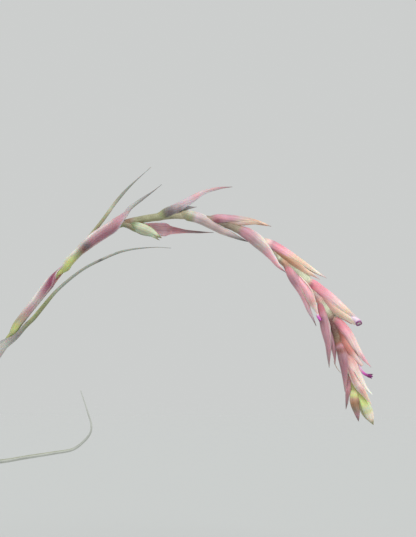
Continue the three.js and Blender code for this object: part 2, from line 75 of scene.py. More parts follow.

# %% [markdown]
# Colours. A colour is written as the eye reads it on a screen, from 0 to 255, and turned into the linear
# light that a shader mixes. The names are the plant's own, except shadow_plum, which is painted shade. Some
# pieces also use wine, rust, maroon, cream and white as painted shade and painted highlights. Each piece
# says which of them it runs through.

# %% Colours
SCREEN_COLOURS = {
    "rose": (240, 154, 168), "pink": (232, 172, 182), "blush": (250, 212, 206), "pale_pink": (236, 214, 222),
    "ash_lilac": (194, 174, 172), "lilac": (206, 188, 194), "mauve": (200, 148, 160),
    "deep_mauve": (166, 116, 128), "deep_rose": (202, 126, 138), "light_rose": (255, 184, 194),
    "salmon_red": (228, 148, 138), "bright_lime": (255, 255, 192), "magenta_core": (138, 60, 92),
    "sheath_pink": (170, 118, 134), "dusty": (180, 136, 144), "wine": (150, 84, 94), "maroon": (122, 80, 76),
    "rust": (170, 104, 92), "salmon": (222, 170, 162), "tan": (206, 160, 134), "peach": (238, 200, 174),
    "cream": (248, 230, 212), "white": (248, 244, 236), "grey": (150, 148, 146), "dark_grey": (104, 100, 100),
    "grey_green": (158, 164, 152), "olive": (140, 146, 106), "dark_olive": (112, 112, 88),
    "yellow_green": (188, 196, 122), "pale_yellow": (208, 212, 160), "lime": (232, 242, 158),
    "pale_green": (216, 222, 190), "celadon": (196, 198, 170), "leaf_green": (158, 166, 144),
    "silver": (188, 192, 184), "moss": (162, 162, 126), "beige": (176, 166, 140),
    "rib_brown": (150, 134, 116), "brown": (138, 112, 86), "root_brown": (104, 80, 60),
    "orange_brown": (182, 136, 104), "shadow_plum": (98, 84, 90), "magenta": (210, 96, 186),
    "violet": (122, 40, 112), "pale_violet": (232, 208, 226),
}
SCREEN_GAMMA = 2.2


def paint(red, green, blue):
    """Linear colour of a screen colour: each channel over 255, to the power of the screen's gamma."""
    return (np.array([red, green, blue]) / 255.0) ** SCREEN_GAMMA


COLOURS = {name: paint(*screen) for name, screen in SCREEN_COLOURS.items()}
print("colours:", len(COLOURS))

# %% Fields of colour


def ramp(places, stops):
    """Colour at each place: a straight mix between the two named colours whose stops lie round it. A single
    name is the same colour everywhere."""
    stops = [(0, stops)] if isinstance(stops, str) else stops
    at = [stop[0] for stop in stops]
    colours = np.array([COLOURS[stop[1]] for stop in stops])
    return np.stack([np.interp(places, at, colours[:, k]) for k in range(3)], axis=-1)


def blend_colours(first, second, share):
    """Mix of two colours or fields of colours, with the share of the second at each place."""
    return first + (second - first) * np.asarray(share)[..., None]


print("half way from cream to rose:", ramp(0.5, [(0, "cream"), (1, "rose")]).round(2))

# %% [markdown]
# Paths. Leaves, scape and bracts are long, so each is a section carried along a path. The path is a smooth
# curve through a few points. Centripetal splines are the right kind here: they never loop between close
# points, and the solids use the same kind, so both run through the same places.

# %% Small helpers
NEARLY_ZERO = 1e-12


def eased(value, low, high):
    """Smooth step from 0 at low to 1 at high: 3t^2 - 2t^3."""
    t = np.clip((value - low) / (high - low), 0.0, 1.0)
    return t * t * (3 - 2 * t)


def mixed(low, high, share):
    """Straight mix of two values."""
    return low + (high - low) * share


def softened(values, width):
    """Values with their corners rounded: a mean over the rows within the width, weighted by a bell. Beyond
    the ends the first and last values go on."""
    padded = np.concatenate([np.full(width, values[0]), values, np.full(width, values[-1])])
    kernel = np.hanning(2 * width + 1)
    return np.convolve(padded, kernel / kernel.sum(), mode="same")[width:-width]


def unit(vectors):
    """Vectors of length 1 in the same directions."""
    return vectors / np.maximum(np.linalg.norm(vectors, axis=-1, keepdims=True), NEARLY_ZERO)


def dot(a, b):
    """Row by row product of two lists of vectors."""
    return np.sum(a * b, axis=-1, keepdims=True)


print("a quarter of the way, the smooth step is at", round(float(eased(0.25, 0, 1)), 3))

# %% Smooth paths
PATH_SAMPLES = 60


def in_space(point):
    """Point of three numbers. One with two numbers, X and Z, lies in the plane Y = 0."""
    return np.array((point[0], 0.0, point[1]) if len(point) == 2 else point, float)


def smooth_path(points):
    """Centripetal Catmull-Rom curve: between two points a cubic whose end slopes weigh the neighbouring
    points by the square root of their distances."""
    knots = np.array([in_space(point) for point in points])
    knots = np.vstack([2 * knots[0] - knots[1], knots, 2 * knots[-1] - knots[-2]])
    gap = np.sqrt(np.linalg.norm(np.diff(knots, axis=0), axis=1))[:, None]
    a, b, c, d = knots[:-3], knots[1:-2], knots[2:-1], knots[3:]
    before, between, after = gap[:-2], gap[1:-1], gap[2:]
    start = ((b - a) / before - (c - a) / (before + between)) * between + (c - b)
    end = ((c - b) / between - (d - b) / (between + after) + (d - c) / after) * between
    t = np.linspace(0, 1, PATH_SAMPLES, endpoint=False)[None, :, None]
    cubic = 2 * b - 2 * c + start + end
    square = -3 * b + 3 * c - 2 * start - end
    curve = b[:, None] + t * start[:, None] + t**2 * square[:, None] + t**3 * cubic[:, None]
    return np.vstack([curve.reshape(-1, 3), knots[-2]])


def lengths_along(curve):
    """Distance of each point of a curve from its start, along it."""
    return np.concatenate([[0.0], np.cumsum(np.linalg.norm(np.diff(curve, axis=0), axis=1))])


def read_path(curve, shares):
    """Points and directions of a curve at shares of its length, and that length."""
    length = lengths_along(curve)
    at = np.asarray(shares) * length[-1]
    heading = unit(np.gradient(curve, length, axis=0))
    points = np.stack([np.interp(at, length, curve[:, k]) for k in range(3)], axis=-1)
    along = unit(np.stack([np.interp(at, length, heading[:, k]) for k in range(3)], axis=-1))
    return points, along, length[-1]


def carried_back(along, first):
    """A direction square to the path, carried from row to row with the least turn."""
    backs = np.empty_like(along)
    back = np.array(first, float)
    for row, heading in enumerate(along):
        back = back - heading * np.dot(back, heading)
        back = back / np.linalg.norm(back)
        backs[row] = back
    return backs


corner = smooth_path([[0, 0], [10, 0], [10, 10]])
print("a path round a corner of 10 by 10 mm is", round(lengths_along(corner)[-1], 1), "mm long")

# %% [markdown]
# Surfaces. Each leaf or bract is a thin crescent in section: an outer arc and an inner arc that meet in a
# sharp margin on either side. A stack of such rings, carried along the path, makes one closed skin. At the
# tip the rings end in a single point, and at the foot a strip closes the crescent. Every point also keeps
# three fields for the materials: its place (share of the length, -1 to 1 across, 0 outside to 1 inside),
# its skin position in millimetres as if the piece were rolled out straight, and its tint.

# %% Rings
MARGIN_CROWDING = 0.92
KEEL_WIDTH = 0.16
THICKEST = 0.75
WALL_POWER, WRAP_POWER, RIB_POWER = 2.5, 4, 4
INNER_SIDE = 0.75


def crescent_loop(columns):
    """Places across and inside values of a crescent ring: along the outer arc, and back on the inner. The
    places follow a sine, so they lie closer together towards the margins. The inside value is 0 on the
    outer arc, 1 on the inner and a half at the two margins."""
    quarter = math.pi / 2 * MARGIN_CROWDING
    across = np.sin(np.linspace(-1, 1, columns) * quarter) / math.sin(quarter)
    loop = np.concatenate([across, across[-2:0:-1]])
    inside = np.concatenate([np.zeros(columns), np.ones(columns - 2)])
    inside[[0, columns - 1]] = 0.5
    return loop, inside


def crescent_rings(centre, back, along, radius, spread, wall, columns, keel, ribs, rib_height, wrap=0.0):
    """Rings of a rolled blade. The outer arc has the radius. It is raised by a bell to a keel on the back,
    and by a cosine to ribs that fade towards the margins, and the wrap draws its margins in. The inner arc
    lies a wall further in, and a power of the place across thins the wall to nothing at the margins."""
    loop, inside = crescent_loop(columns)
    side = np.cross(along, back)
    angle = spread[:, None] * loop[None, :]
    ridge = np.exp(-((loop / KEEL_WIDTH) ** 2))[None, :]
    corrugation = np.cos(math.pi * ribs * loop)[None, :] * (1 - loop**RIB_POWER)[None, :]
    outer = radius[:, None] * (1 + keel * ridge) + rib_height * corrugation
    outer = outer - wrap * (np.abs(loop) ** WRAP_POWER)[None, :]
    thickness = np.minimum(wall, THICKEST * radius)[:, None] * (1 - np.abs(loop) ** WALL_POWER)[None, :]
    reach = outer - thickness * (inside > INNER_SIDE)[None, :]
    ray = back[:, None] * np.cos(angle)[..., None] + side[:, None] * np.sin(angle)[..., None]
    return centre[:, None] + ray * reach[..., None], loop, inside


def round_rings(centre, back, along, radius, columns, flutes=0, flute_depth=0.0):
    """Rings of a rod: circles of the radius, with flutes as a cosine round them."""
    turn = np.linspace(0, 2 * math.pi, columns, endpoint=False)
    side = np.cross(along, back)
    reach = radius[:, None] * (1 + flute_depth * np.cos(flutes * turn))[None, :]
    ray = back[:, None] * np.cos(turn)[None, :, None] + side[:, None] * np.sin(turn)[None, :, None]
    return centre[:, None] + ray * reach[..., None], turn


print("points in a crescent ring of 25 columns:", len(crescent_loop(25)[0]))

# %% Fields of a surface
SIDES_APART = 3.0


def blade_fields(shares, loop, inside, half_width, length):
    """Place and skin fields of a rolled blade: the skin is the blade laid flat, in millimetres, with its
    inner side a little apart from its outer side, so that the two don't show the same pattern."""
    rows, count = len(shares), len(loop)
    place = np.empty((rows, count, 3))
    place[..., 0] = shares[:, None]
    place[..., 1] = loop[None, :]
    place[..., 2] = inside[None, :]
    skin = np.empty((rows, count, 3))
    skin[..., 0] = half_width[:, None] * loop[None, :]
    skin[..., 1] = SIDES_APART * (inside[None, :] > INNER_SIDE)
    skin[..., 2] = shares[:, None] * length
    return place, skin


def rod_fields(shares, turn, radius, length):
    """Place and skin fields of a rod: the skin is the rod stood upright, in millimetres."""
    shape = (len(shares), len(turn))
    place = np.zeros(shape + (3,))
    place[..., 0] = shares[:, None]
    skin = np.stack([radius[:, None] * np.cos(turn)[None, :], radius[:, None] * np.sin(turn)[None, :],
                     np.broadcast_to((shares * length)[:, None], shape)], axis=-1)
    return place, skin


corners = blade_fields(np.array([0.0, 1.0]), *crescent_loop(3), np.array([2.0, 1.0]), 50.0)[1]
print("a blade of 50 mm laid flat reaches from", corners.min(axis=(0, 1)), "to", corners.max(axis=(0, 1)))

# %% Closed skins


def cap_faces(ring, kind, pole):
    """Faces that close a ring: a fan to a pole, or the strip between a crescent's two arcs."""
    count = len(ring)
    if kind == "pole":
        return np.empty((0, 4), int), np.stack([ring, np.roll(ring, -1), np.full(count, pole)], axis=1)
    half = count // 2
    k = np.arange(1, half - 1)
    quads = np.stack([ring[k], ring[k + 1], ring[count - k - 1], ring[count - k]], axis=1)
    ends = np.array([[ring[0], ring[1], ring[-1]], [ring[half - 1], ring[half], ring[half + 1]]])
    return quads, ends


def enclosed_volume(surface):
    """Volume inside a closed skin: the sum of the triple products of its triangles, over six."""
    quads, points = surface["quads"], surface["points"]
    faces = np.vstack([quads[:, [0, 1, 2]], quads[:, [0, 2, 3]], surface["triangles"]])
    a, b, c = points[faces[:, 0]], points[faces[:, 1]], points[faces[:, 2]]
    return np.sum(np.cross(a, b) * c) / 6


def loft(rings, caps, place, skin, tint):
    """Closed skin over a stack of rings: quads between neighbouring rings and a cap at each end, turned to
    face outwards by the sign of the volume that it encloses."""
    rows, count = rings.shape[:2]
    index = np.arange(rows * count).reshape(rows, count)
    ahead = np.roll(index, -1, axis=1)
    quads = [np.stack([index[:-1], ahead[:-1], ahead[1:], index[1:]], axis=-1).reshape(-1, 4)]
    triangles = [np.empty((0, 3), int)]
    grids = {"points": rings, "place": place, "skin": skin, "tint": tint}
    surface = {key: [grid.reshape(-1, 3)] for key, grid in grids.items()}
    total = rows * count
    for row, kind in ((0, caps[0]), (rows - 1, caps[1])):
        ring = index[row] if row else index[row][::-1]
        more_quads, more_triangles = cap_faces(ring, kind, total)
        quads.append(more_quads)
        triangles.append(more_triangles)
        if kind == "pole":
            for key, grid in grids.items():
                surface[key].append(grid[row].mean(axis=0, keepdims=True))
            total += 1
    surface.update(quads=quads, triangles=triangles)
    surface = {key: np.vstack(blocks) for key, blocks in surface.items()}
    if enclosed_volume(surface) < 0:
        surface["quads"] = surface["quads"][:, ::-1]
        surface["triangles"] = surface["triangles"][:, ::-1]
    return surface


def joined(surfaces):
    """Several skins as one, each with its own points."""
    offsets = np.cumsum([0] + [len(s["points"]) for s in surfaces[:-1]])
    whole = {key: np.vstack([s[key] for s in surfaces]) for key in ("points", "place", "skin", "tint")}
    for key in ("quads", "triangles"):
        whole[key] = np.vstack([s[key] + offset for s, offset in zip(surfaces, offsets)])
    return whole


print("triangles that close a ring of 24 points:", len(cap_faces(np.arange(24), "pole", 24)[1]))

# %% [markdown]
# Pieces. A skin becomes a mesh object in its place in the frame, and takes over from the solid of the same
# name. The three fields go with the mesh as attributes, because a pattern that reads them follows the
# surface, where one in plain space would cut through it.

# %% Pieces
made_faces = {}


def make_piece(node, surface, material):
    """Mesh object of a skin in millimetres, which stands for the frame's node of that name."""
    mesh = bpy.data.meshes.new(node + "_skin")
    faces = surface["quads"].tolist() + surface["triangles"].tolist()
    mesh.from_pydata((surface["points"] * MM).tolist(), [], faces)
    mesh.polygons.foreach_set("use_smooth", np.ones(len(faces), bool))
    for key in ("place", "skin"):
        field = mesh.attributes.new(key, "FLOAT_VECTOR", "POINT")
        field.data.foreach_set("vector", surface[key].astype(np.float32).ravel())
    tint = mesh.attributes.new("tint", "FLOAT_COLOR", "POINT")
    opaque = np.hstack([np.clip(surface["tint"], 0, 1), np.ones((len(surface["tint"]), 1))])
    tint.data.foreach_set("color", opaque.astype(np.float32).ravel())
    mesh.materials.append(material)
    mesh.update()
    piece = bpy.data.objects.new(node + "_skin", mesh)
    bpy.context.scene.collection.objects.link(piece)
    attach(piece, "root")
    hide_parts(node)
    made_faces[node] = 2 * len(surface["quads"]) + len(surface["triangles"])


def triangles_of(names):
    """Number of triangles of the pieces of these names."""
    return sum(made_faces[name] for name in names)


print("solids to replace:", len(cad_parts))

# %% [markdown]
# Shader groups. Three effects come back on every part of the plant, so each is a node group. Lengthwise
# streaks are the veins that run from foot to tip. Scurf is the coat of tiny silver scales that an air plant
# drinks with: it frosts the surface and takes its shine. Mottling is the slow change of colour that keeps a
# surface alive.

# %% Node helpers
FLOAT, VECTOR = "NodeSocketFloat", "NodeSocketVector"


def feed(tree, socket, value):
    """An input set to a value, or linked to another socket where the value is one."""
    if isinstance(value, bpy.types.NodeSocket):
        tree.links.new(value, socket)
    else:
        socket.default_value = value


def node(tree, kind, settings=None, **inputs):
    """A node with its settings, and its inputs fed by name, with underscores for spaces."""
    made = tree.nodes.new(kind)
    for key, value in (settings or {}).items():
        setattr(made, key, value)
    for key, value in inputs.items():
        feed(tree, made.inputs[key.replace("_", " ")], value)
    return made


def ordered_node(tree, kind, settings, *inputs):
    """A node with its settings, and its first inputs fed in their order."""
    made = node(tree, kind, settings)
    for socket, value in zip(made.inputs, inputs):
        feed(tree, socket, value)
    return made


def computed(tree, operation, *inputs):
    """Socket of an operation on numbers."""
    return ordered_node(tree, "ShaderNodeMath", {"operation": operation}, *inputs).outputs[0]


def group(name, inputs, outputs):
    """An empty node group with named sockets: a name, a socket type and for an input also its usual
    value."""
    tree = bpy.data.node_groups.new(name, "ShaderNodeTree")
    for label, kind, value in inputs:
        socket = tree.interface.new_socket(label, in_out="INPUT", socket_type=kind)
        if value is not None:
            socket.default_value = value
    for label, kind in outputs:
        tree.interface.new_socket(label, in_out="OUTPUT", socket_type=kind)
    return tree, tree.nodes.new("NodeGroupInput").outputs, tree.nodes.new("NodeGroupOutput").inputs


print("materials of the frame:", len(bpy.data.materials))

# %% Streaks, scurf and mottling
SMOOTH = {"interpolation_type": "SMOOTHSTEP"}
STREAK_RANGE = {"From_Min": 0.35, "From_Max": 0.68}
SCALE_RANGE = {"From_Min": 0.62, "From_Max": 0.2}
PATCH_RANGE = {"From_Min": 0.3, "From_Max": 0.7, "To_Min": -1.0, "To_Max": 1.0}


def streaks_group():
    """Noise read in a space that is squeezed along the piece, so its blots become long thin streaks."""
    tree, given, result = group("lengthwise streaks",
                                [("Skin", VECTOR, None), ("Width", FLOAT, 0.3), ("Length", FLOAT, 12.0)],
                                [("Mask", FLOAT), ("Height", FLOAT)])
    across = computed(tree, "DIVIDE", 1.0, given["Width"])
    down = computed(tree, "DIVIDE", 1.0, given["Length"])
    scale = node(tree, "ShaderNodeCombineXYZ", X=across, Y=across, Z=down)
    squeezed = ordered_node(tree, "ShaderNodeVectorMath", {"operation": "MULTIPLY"},
                            given["Skin"], scale.outputs[0])
    noise = node(tree, "ShaderNodeTexNoise", Vector=squeezed.outputs[0], Scale=1.0, Detail=3.0, Roughness=0.6)
    mask = node(tree, "ShaderNodeMapRange", SMOOTH, Value=noise.outputs["Fac"], **STREAK_RANGE)
    feed(tree, result["Mask"], mask.outputs[0])
    feed(tree, result["Height"], noise.outputs["Fac"])
    return tree


def scurf_group():
    """Small round scales: the cells of a Voronoi pattern, bright in the middle, some cells empty."""
    tree, given, result = group("silver scurf",
                                [("Position", VECTOR, None), ("Size", FLOAT, 0.25), ("Cover", FLOAT, 0.6)],
                                [("Mask", FLOAT), ("Height", FLOAT)])
    scale = computed(tree, "DIVIDE", 1.0, given["Size"])
    cells = node(tree, "ShaderNodeTexVoronoi", Vector=given["Position"], Scale=scale)
    disc = node(tree, "ShaderNodeMapRange", SMOOTH, Value=cells.outputs["Distance"], **SCALE_RANGE)
    chance = node(tree, "ShaderNodeSeparateColor", Color=cells.outputs["Color"])
    kept = computed(tree, "LESS_THAN", chance.outputs[0], given["Cover"])
    mask = computed(tree, "MULTIPLY", disc.outputs[0], kept)
    feed(tree, result["Mask"], mask)
    feed(tree, result["Height"], mask)
    return tree


def mottle_group():
    """Slow noise about zero, which lightens and darkens a surface in broad patches."""
    tree, given, result = group("mottling", [("Position", VECTOR, None), ("Size", FLOAT, 4.0)],
                                [("Change", FLOAT)])
    scale = computed(tree, "DIVIDE", 1.0, given["Size"])
    noise = node(tree, "ShaderNodeTexNoise", Vector=given["Position"], Scale=scale, Detail=2.0)
    change = node(tree, "ShaderNodeMapRange", Value=noise.outputs["Fac"], **PATCH_RANGE)
    feed(tree, result["Change"], change.outputs[0])
    return tree


STREAKS, SCURF, MOTTLE = streaks_group(), scurf_group(), mottle_group()
print("shader groups:", [g.name for g in (STREAKS, SCURF, MOTTLE)])

# %% [markdown]
# Plant skin. All materials of the plant are one recipe with different amounts: the tint of the surface,
# darker streaks, broad mottling, a frost of scurf, and a bump of streaks and scales. Roughness follows the
# scurf, because scales are dull and the skin between them has a faint gloss.

# %% Material recipe
STREAK_SHADE = (0.62, 0.54, 0.56, 1.0)
SCURF_COLOUR = (0.78, 0.79, 0.76, 1.0)
MEAN_BRIGHTNESS, PATCH_SIZE = 1.09, 5.0
SCALE_RELIEF, RELIEF_HEIGHT, RELIEF_STRENGTH = 0.4, 0.2, 0.25
LIGHT_DEPTH, SHEEN_ROUGHNESS, SPECULAR = 0.6, 0.5, 0.35
MIX_INPUTS, MIX_OUTPUT = (0, 6, 7), 2


def mixed_colour(tree, share, first, second, blend="MIX"):
    """Socket of a colour mix. The node has sockets for other kinds of mix too, so the numbers of the ones
    for colours are needed."""
    made = node(tree, "ShaderNodeMix", {"data_type": "RGBA", "blend_type": blend, "clamp_factor": True})
    for number, value in zip(MIX_INPUTS, (share, first, second)):
        feed(tree, made.inputs[number], value)
    return made.outputs[MIX_OUTPUT]


def skin_material(name, streak, streak_width, streak_length, scurf, mottle, roughness, scurf_size=0.3,
                  scurf_cover=0.6, sheen=0.15, subsurface=0.0):
    """Material of one kind of tissue, from the tint and skin fields of its piece."""
    material = bpy.data.materials.new(name)
    material.use_nodes = True
    tree = material.node_tree
    shader = tree.nodes["Principled BSDF"].inputs
    tint = node(tree, "ShaderNodeAttribute", {"attribute_name": "tint"}).outputs["Color"]
    skin = node(tree, "ShaderNodeAttribute", {"attribute_name": "skin"}).outputs["Vector"]
    streaks = node(tree, "ShaderNodeGroup", {"node_tree": STREAKS}, Skin=skin, Width=streak_width,
                   Length=streak_length).outputs
    scales = node(tree, "ShaderNodeGroup", {"node_tree": SCURF}, Position=skin, Size=scurf_size,
                  Cover=scurf_cover).outputs
    patches = node(tree, "ShaderNodeGroup", {"node_tree": MOTTLE}, Position=skin, Size=PATCH_SIZE).outputs
    streaked = computed(tree, "MULTIPLY", streaks["Mask"], streak)
    lined = mixed_colour(tree, streaked, tint, STREAK_SHADE, "MULTIPLY")
    light = computed(tree, "MULTIPLY_ADD", patches["Change"], mottle, MEAN_BRIGHTNESS)
    varied = node(tree, "ShaderNodeVectorMath", {"operation": "SCALE"}, Vector=lined, Scale=light).outputs[0]
    frost = computed(tree, "MULTIPLY", scales["Mask"], scurf)
    feed(tree, shader["Base Color"], mixed_colour(tree, frost, varied, SCURF_COLOUR))
    dull = node(tree, "ShaderNodeMapRange", Value=scales["Mask"], To_Min=roughness[0], To_Max=roughness[1])
    feed(tree, shader["Roughness"], dull.outputs[0])
    relief = computed(tree, "MULTIPLY_ADD", scales["Height"], SCALE_RELIEF, streaks["Height"])
    raised = node(tree, "ShaderNodeBump", Strength=RELIEF_STRENGTH, Distance=RELIEF_HEIGHT * MM,
                  Height=relief)
    feed(tree, shader["Normal"], raised.outputs[0])
    shader["Sheen Weight"].default_value = sheen
    shader["Sheen Roughness"].default_value = SHEEN_ROUGHNESS
    shader["Subsurface Weight"].default_value = subsurface
    shader["Subsurface Scale"].default_value = LIGHT_DEPTH * MM
    shader["Specular IOR Level"].default_value = SPECULAR
    return material


# %% Five kinds of tissue
LEAF_SKIN = skin_material("leaf skin", streak=0.35, streak_width=0.35, streak_length=20, scurf=0.38,
                          scurf_size=0.2, scurf_cover=0.9, mottle=0.16, roughness=(0.55, 0.8), sheen=0.3)
STEM_SKIN = skin_material("stem skin", streak=0.6, streak_width=0.5, streak_length=1.2, scurf=0.2,
                          scurf_size=0.22, mottle=0.25, roughness=(0.5, 0.75))
BRACT_SKIN = skin_material("bract skin", streak=0.6, streak_width=0.42, streak_length=12, scurf=0.16,
                           scurf_size=0.22, scurf_cover=0.5, mottle=0.12, roughness=(0.42, 0.65),
                           subsurface=0.3)
SEPAL_SKIN = skin_material("sepal skin", streak=0.5, streak_width=0.35, streak_length=9, scurf=0.05,
                           mottle=0.08, roughness=(0.38, 0.5), subsurface=0.3)
PETAL_SKIN = skin_material("petal skin", streak=0.3, streak_width=0.15, streak_length=5, scurf=0.0,
                           mottle=0.06, roughness=(0.35, 0.4), sheen=0.3, subsurface=0.3)
print("materials:", [m.name for m in bpy.data.materials if m.name.endswith("skin")])

# %% [markdown]
# Scape. The stalk is one rod from inside the bulb to the end of the spike. Its points follow the frame's
# stem to a few tenths of a millimetre, with some more of them along the spike. Each is X, Z and the radius
# there. On the spike the skin is wider than the solid, by a second list of radii over X. A list of colours
# over X belongs to the scape too, and each bract starts in the scape's colour at its foot.

# %% Scape
SCAPE = [
    [5.4, 18, 1.7], [8.7, 29, 1.5], [11.4, 38, 1.15], [14.2, 46, 1.0], [19, 55, 0.8], [27, 69, 0.7],
    [36, 83.2, 0.62], [49.1, 100.8, 0.6], [58.7, 112.3, 0.6], [68.4, 121.7, 0.6], [76.5, 126.8, 0.7],
    [82, 128.7, 1.05], [90, 130.3, 1.0], [100.8, 131.2, 1.0], [111, 129.8, 1.0], [122, 126.2, 1.0],
    [133.6, 118.1, 1.0], [139.4, 114, 1.0], [145, 109.6, 1.0], [149.4, 103.4, 0.95], [153.7, 97.4, 0.9],
    [156.2, 91.2, 0.85], [158.2, 85, 0.8], [160.2, 78.4, 0.75], [163.2, 70, 0.6], [164.8, 67, 0.5],
    [166, 65, 0.4],
]
RACHIS_RADIUS = [(75, 0.8), (79, 1.05), (84, 1.2), (90, 1.35), (97, 1.2), (107, 1.1), (116, 1.3), (126, 1.45),
                 (138, 1.55), (145, 1.6), (149, 1.45), (153, 1.55), (156, 1.5), (159, 1.2), (163, 0.9),
                 (165.5, 0.6)]
# The maroon band from 154.5 to 157.3 is painted shadow on the internode under the bracts.
SCAPE_STOPS = [(5, "pale_green"), (20, "olive"), (50, "yellow_green"), (64, "yellow_green"), (80, "olive"),
               (81, "rib_brown"), (81.5, "brown"), (82.7, "brown"), (83.6, "rib_brown"), (85, "moss"),
               (95, "moss"), (104, "beige"), (112, "rib_brown"), (119, "rib_brown"), (123, "beige"),
               (135.5, "beige"), (136.6, "pale_green"), (137.2, "beige"), (138.4, "tan"), (139.6, "tan"),
               (141.5, "pale_green"), (147, "pale_green"), (148.6, "celadon"), (150, "ash_lilac"),
               (151.2, "salmon"), (152.6, "pale_green"), (153.8, "pale_green"), (154.5, "beige"),
               (155.2, "maroon"), (156.4, "maroon"), (157.3, "brown"), (159, "rust"), (161.5, "salmon"),
               (163, "yellow_green"), (166, "yellow_green")]
RADIUS_ROUNDING = 20

scape_curve = smooth_path([point[:2] for point in SCAPE])
scape_distance = lengths_along(scape_curve)
scape_knots = np.linspace(0, len(scape_curve) - 1, len(SCAPE))
scape_radii = np.interp(np.arange(len(scape_curve)), scape_knots, [point[2] for point in SCAPE])
rachis_radii = np.interp(scape_curve[:, 0], *zip(*RACHIS_RADIUS), left=0.0)
skin_radii = softened(np.maximum(scape_radii, rachis_radii), RADIUS_ROUNDING)


def nearest_on_scape(points):
    """Row of the scape's middle line that is nearest to each point."""
    return np.argmin(np.linalg.norm(points[:, None] - scape_curve[None], axis=2), axis=1)


print("scape length", round(scape_distance[-1], 1), "mm")

# %% [markdown]
# Bracts. A bract is a small leaf that clasps the scape with its foot and holds a flower. Its path is the
# middle line of the hollow under it. Its back turns away from the scape, to the outside or the inside of
# the arch, and can face the viewer by some degrees. The radius swells to the girth and then falls to a
# drawn-out point. Where a name says within, its two numbers are the places between which a change happens.

# %% Bract outlines
TIP = 0.07
LOW_SPREAD = 150.0
OPENS_WITHIN, TURNS_WITHIN, POINTED_WITHIN = (0.1, 0.65), (0.15, 0.75), (0.8, 1.0)
STATION_ROUNDING = 4


def floral_profile(shares, girth, foot=2.02, tip=TIP, spread=120.0, belly=0.35, fall=1.5, facing=(0, 0)):
    """Radius, half spread and facing along a floral bract: an eased swell from the foot to the girth at the
    belly, then a fall to the tip as a power of the way past the belly. The spread eases from the low one to
    its own, and the facing from its first to its second value."""
    swell = mixed(foot, girth, eased(shares, 0, belly))
    taper = np.clip((shares - belly) / (1 - belly), 0, 1) ** fall
    opened = mixed(LOW_SPREAD, spread, eased(shares, *OPENS_WITHIN))
    return mixed(swell, tip, taper), opened, mixed(facing[0], facing[1], eased(shares, *TURNS_WITHIN))


def station_profile(shares, stations):
    """Radius, half spread and facing read between the stations of a scape bract, with rounded corners and a
    pointed end."""
    table = np.array(stations, float)
    radius, spread, facing = (softened(np.interp(shares, table[:, 0], table[:, k]), STATION_ROUNDING)
                              for k in (1, 2, 3))
    return mixed(radius, TIP, eased(shares, *POINTED_WITHIN)), spread, facing


print("radius along a bract of girth 2:", floral_profile(np.linspace(0, 1, 6), 2.0)[0].round(2), "mm")

# %% Bracts on the scape
FOOT_LEAD = 1.6
CLEARANCE, LEAST_HOLLOW = 0.06, 0.1
PUSH_ROUNDING = 5


def bract_frame(curve, shares, side, facing):
    """Path points, directions and backs: the back is square to the path, in the arch's plane on the given
    side, turned towards -Y by the facing."""
    centre, along, length = read_path(curve, shares)
    turn = np.radians(facing)[:, None]
    outside = unit(np.stack([-along[:, 2], np.zeros(len(along)), along[:, 0]], axis=1))
    back = side * outside * np.cos(turn) + np.array([0.0, -1.0, 0.0]) * np.sin(turn)
    back = unit(back - along * dot(back, along))
    return centre, along, back, length


def cleared(centre, back, hollow, weight):
    """Centres moved out along the back, with a weight, until the hollow under the bract clears the
    scape."""
    nearest = nearest_on_scape(centre)
    distance = dot(centre - scape_curve[nearest], back)[:, 0]
    least = np.maximum(0, scape_radii[nearest] + CLEARANCE - np.maximum(hollow, LEAST_HOLLOW))
    push = softened(np.maximum(0, least - distance), PUSH_ROUNDING) * weight
    return centre + back * push[:, None]


def rooted(path):
    """Path that first runs along the scape for a short way below the bract, the length of that way, and the
    radius of the scape's skin where it starts."""
    foot = in_space(path[0])
    nearest = nearest_on_scape(foot[None])[0]
    start = np.searchsorted(scape_distance, max(scape_distance[nearest] - FOOT_LEAD, 0))
    lead = np.linalg.norm(scape_curve[start] - foot)
    return smooth_path([scape_curve[start]] + path), lead, skin_radii[start]


example = rooted([[100.8, 131.2], [110, 140]])
print("a bract in the middle of the arch starts", round(example[1], 2), "mm before it")

# %% Bract skins
BRACT_WALL, THINNED_AT_TIP = 0.34, 0.5
BRACT_COLUMNS, BRACT_RIBS, BRACT_RIB_HEIGHT, BRACT_KEEL = 25, 7, 0.025, 0.05
FOOT_SPREAD, SUNK_FOOT = 140.0, 0.04
RIPPLE, RIPPLE_RATE, RIPPLE_STARTS = 0.05, 17, (0.2, 0.5)
CLEARS_WITHIN, COLOURS_WITHIN = (0.4, 1.4), (0.4, 2.4)
EDGE_STARTS, INNER_SHARE = (0.02, 0.25), 0.75


def bract_tint(place, side, colours, margin, inner, margin_width, margin_share, stains_and_painted_light):
    """Tint of a bract. It runs through the named colours from foot to tip, turns to the margin's colour
    near the edges, and to the inner colour on the inner side. A spot is a soft patch of another colour, by
    a bell. It is a real stain, or painted shade, or a painted highlight where light falls on the bract. Its
    numbers are where along, where across (1 is the near margin, 0 the back), how long, how wide, colour,
    how strong."""
    share, across, inside = place[..., 0], place[..., 1], place[..., 2]
    edge = eased(np.abs(across), 1 - margin_width * 2, 1.0) * margin_share * eased(share, *EDGE_STARTS)
    tint = blend_colours(ramp(share, colours), ramp(share, margin), edge)
    tint = blend_colours(tint, ramp(share, inner), INNER_SHARE * (inside > INNER_SIDE))
    # Each spot is a real stain, painted shade or a painted highlight.
    for at, near, tall, wide, colour, strength in stains_and_painted_light:
        off = ((share - at) / tall) ** 2 + ((side * across - near) / wide) ** 2
        tint = blend_colours(tint, COLOURS[colour], strength * np.exp(-off))
    return tint


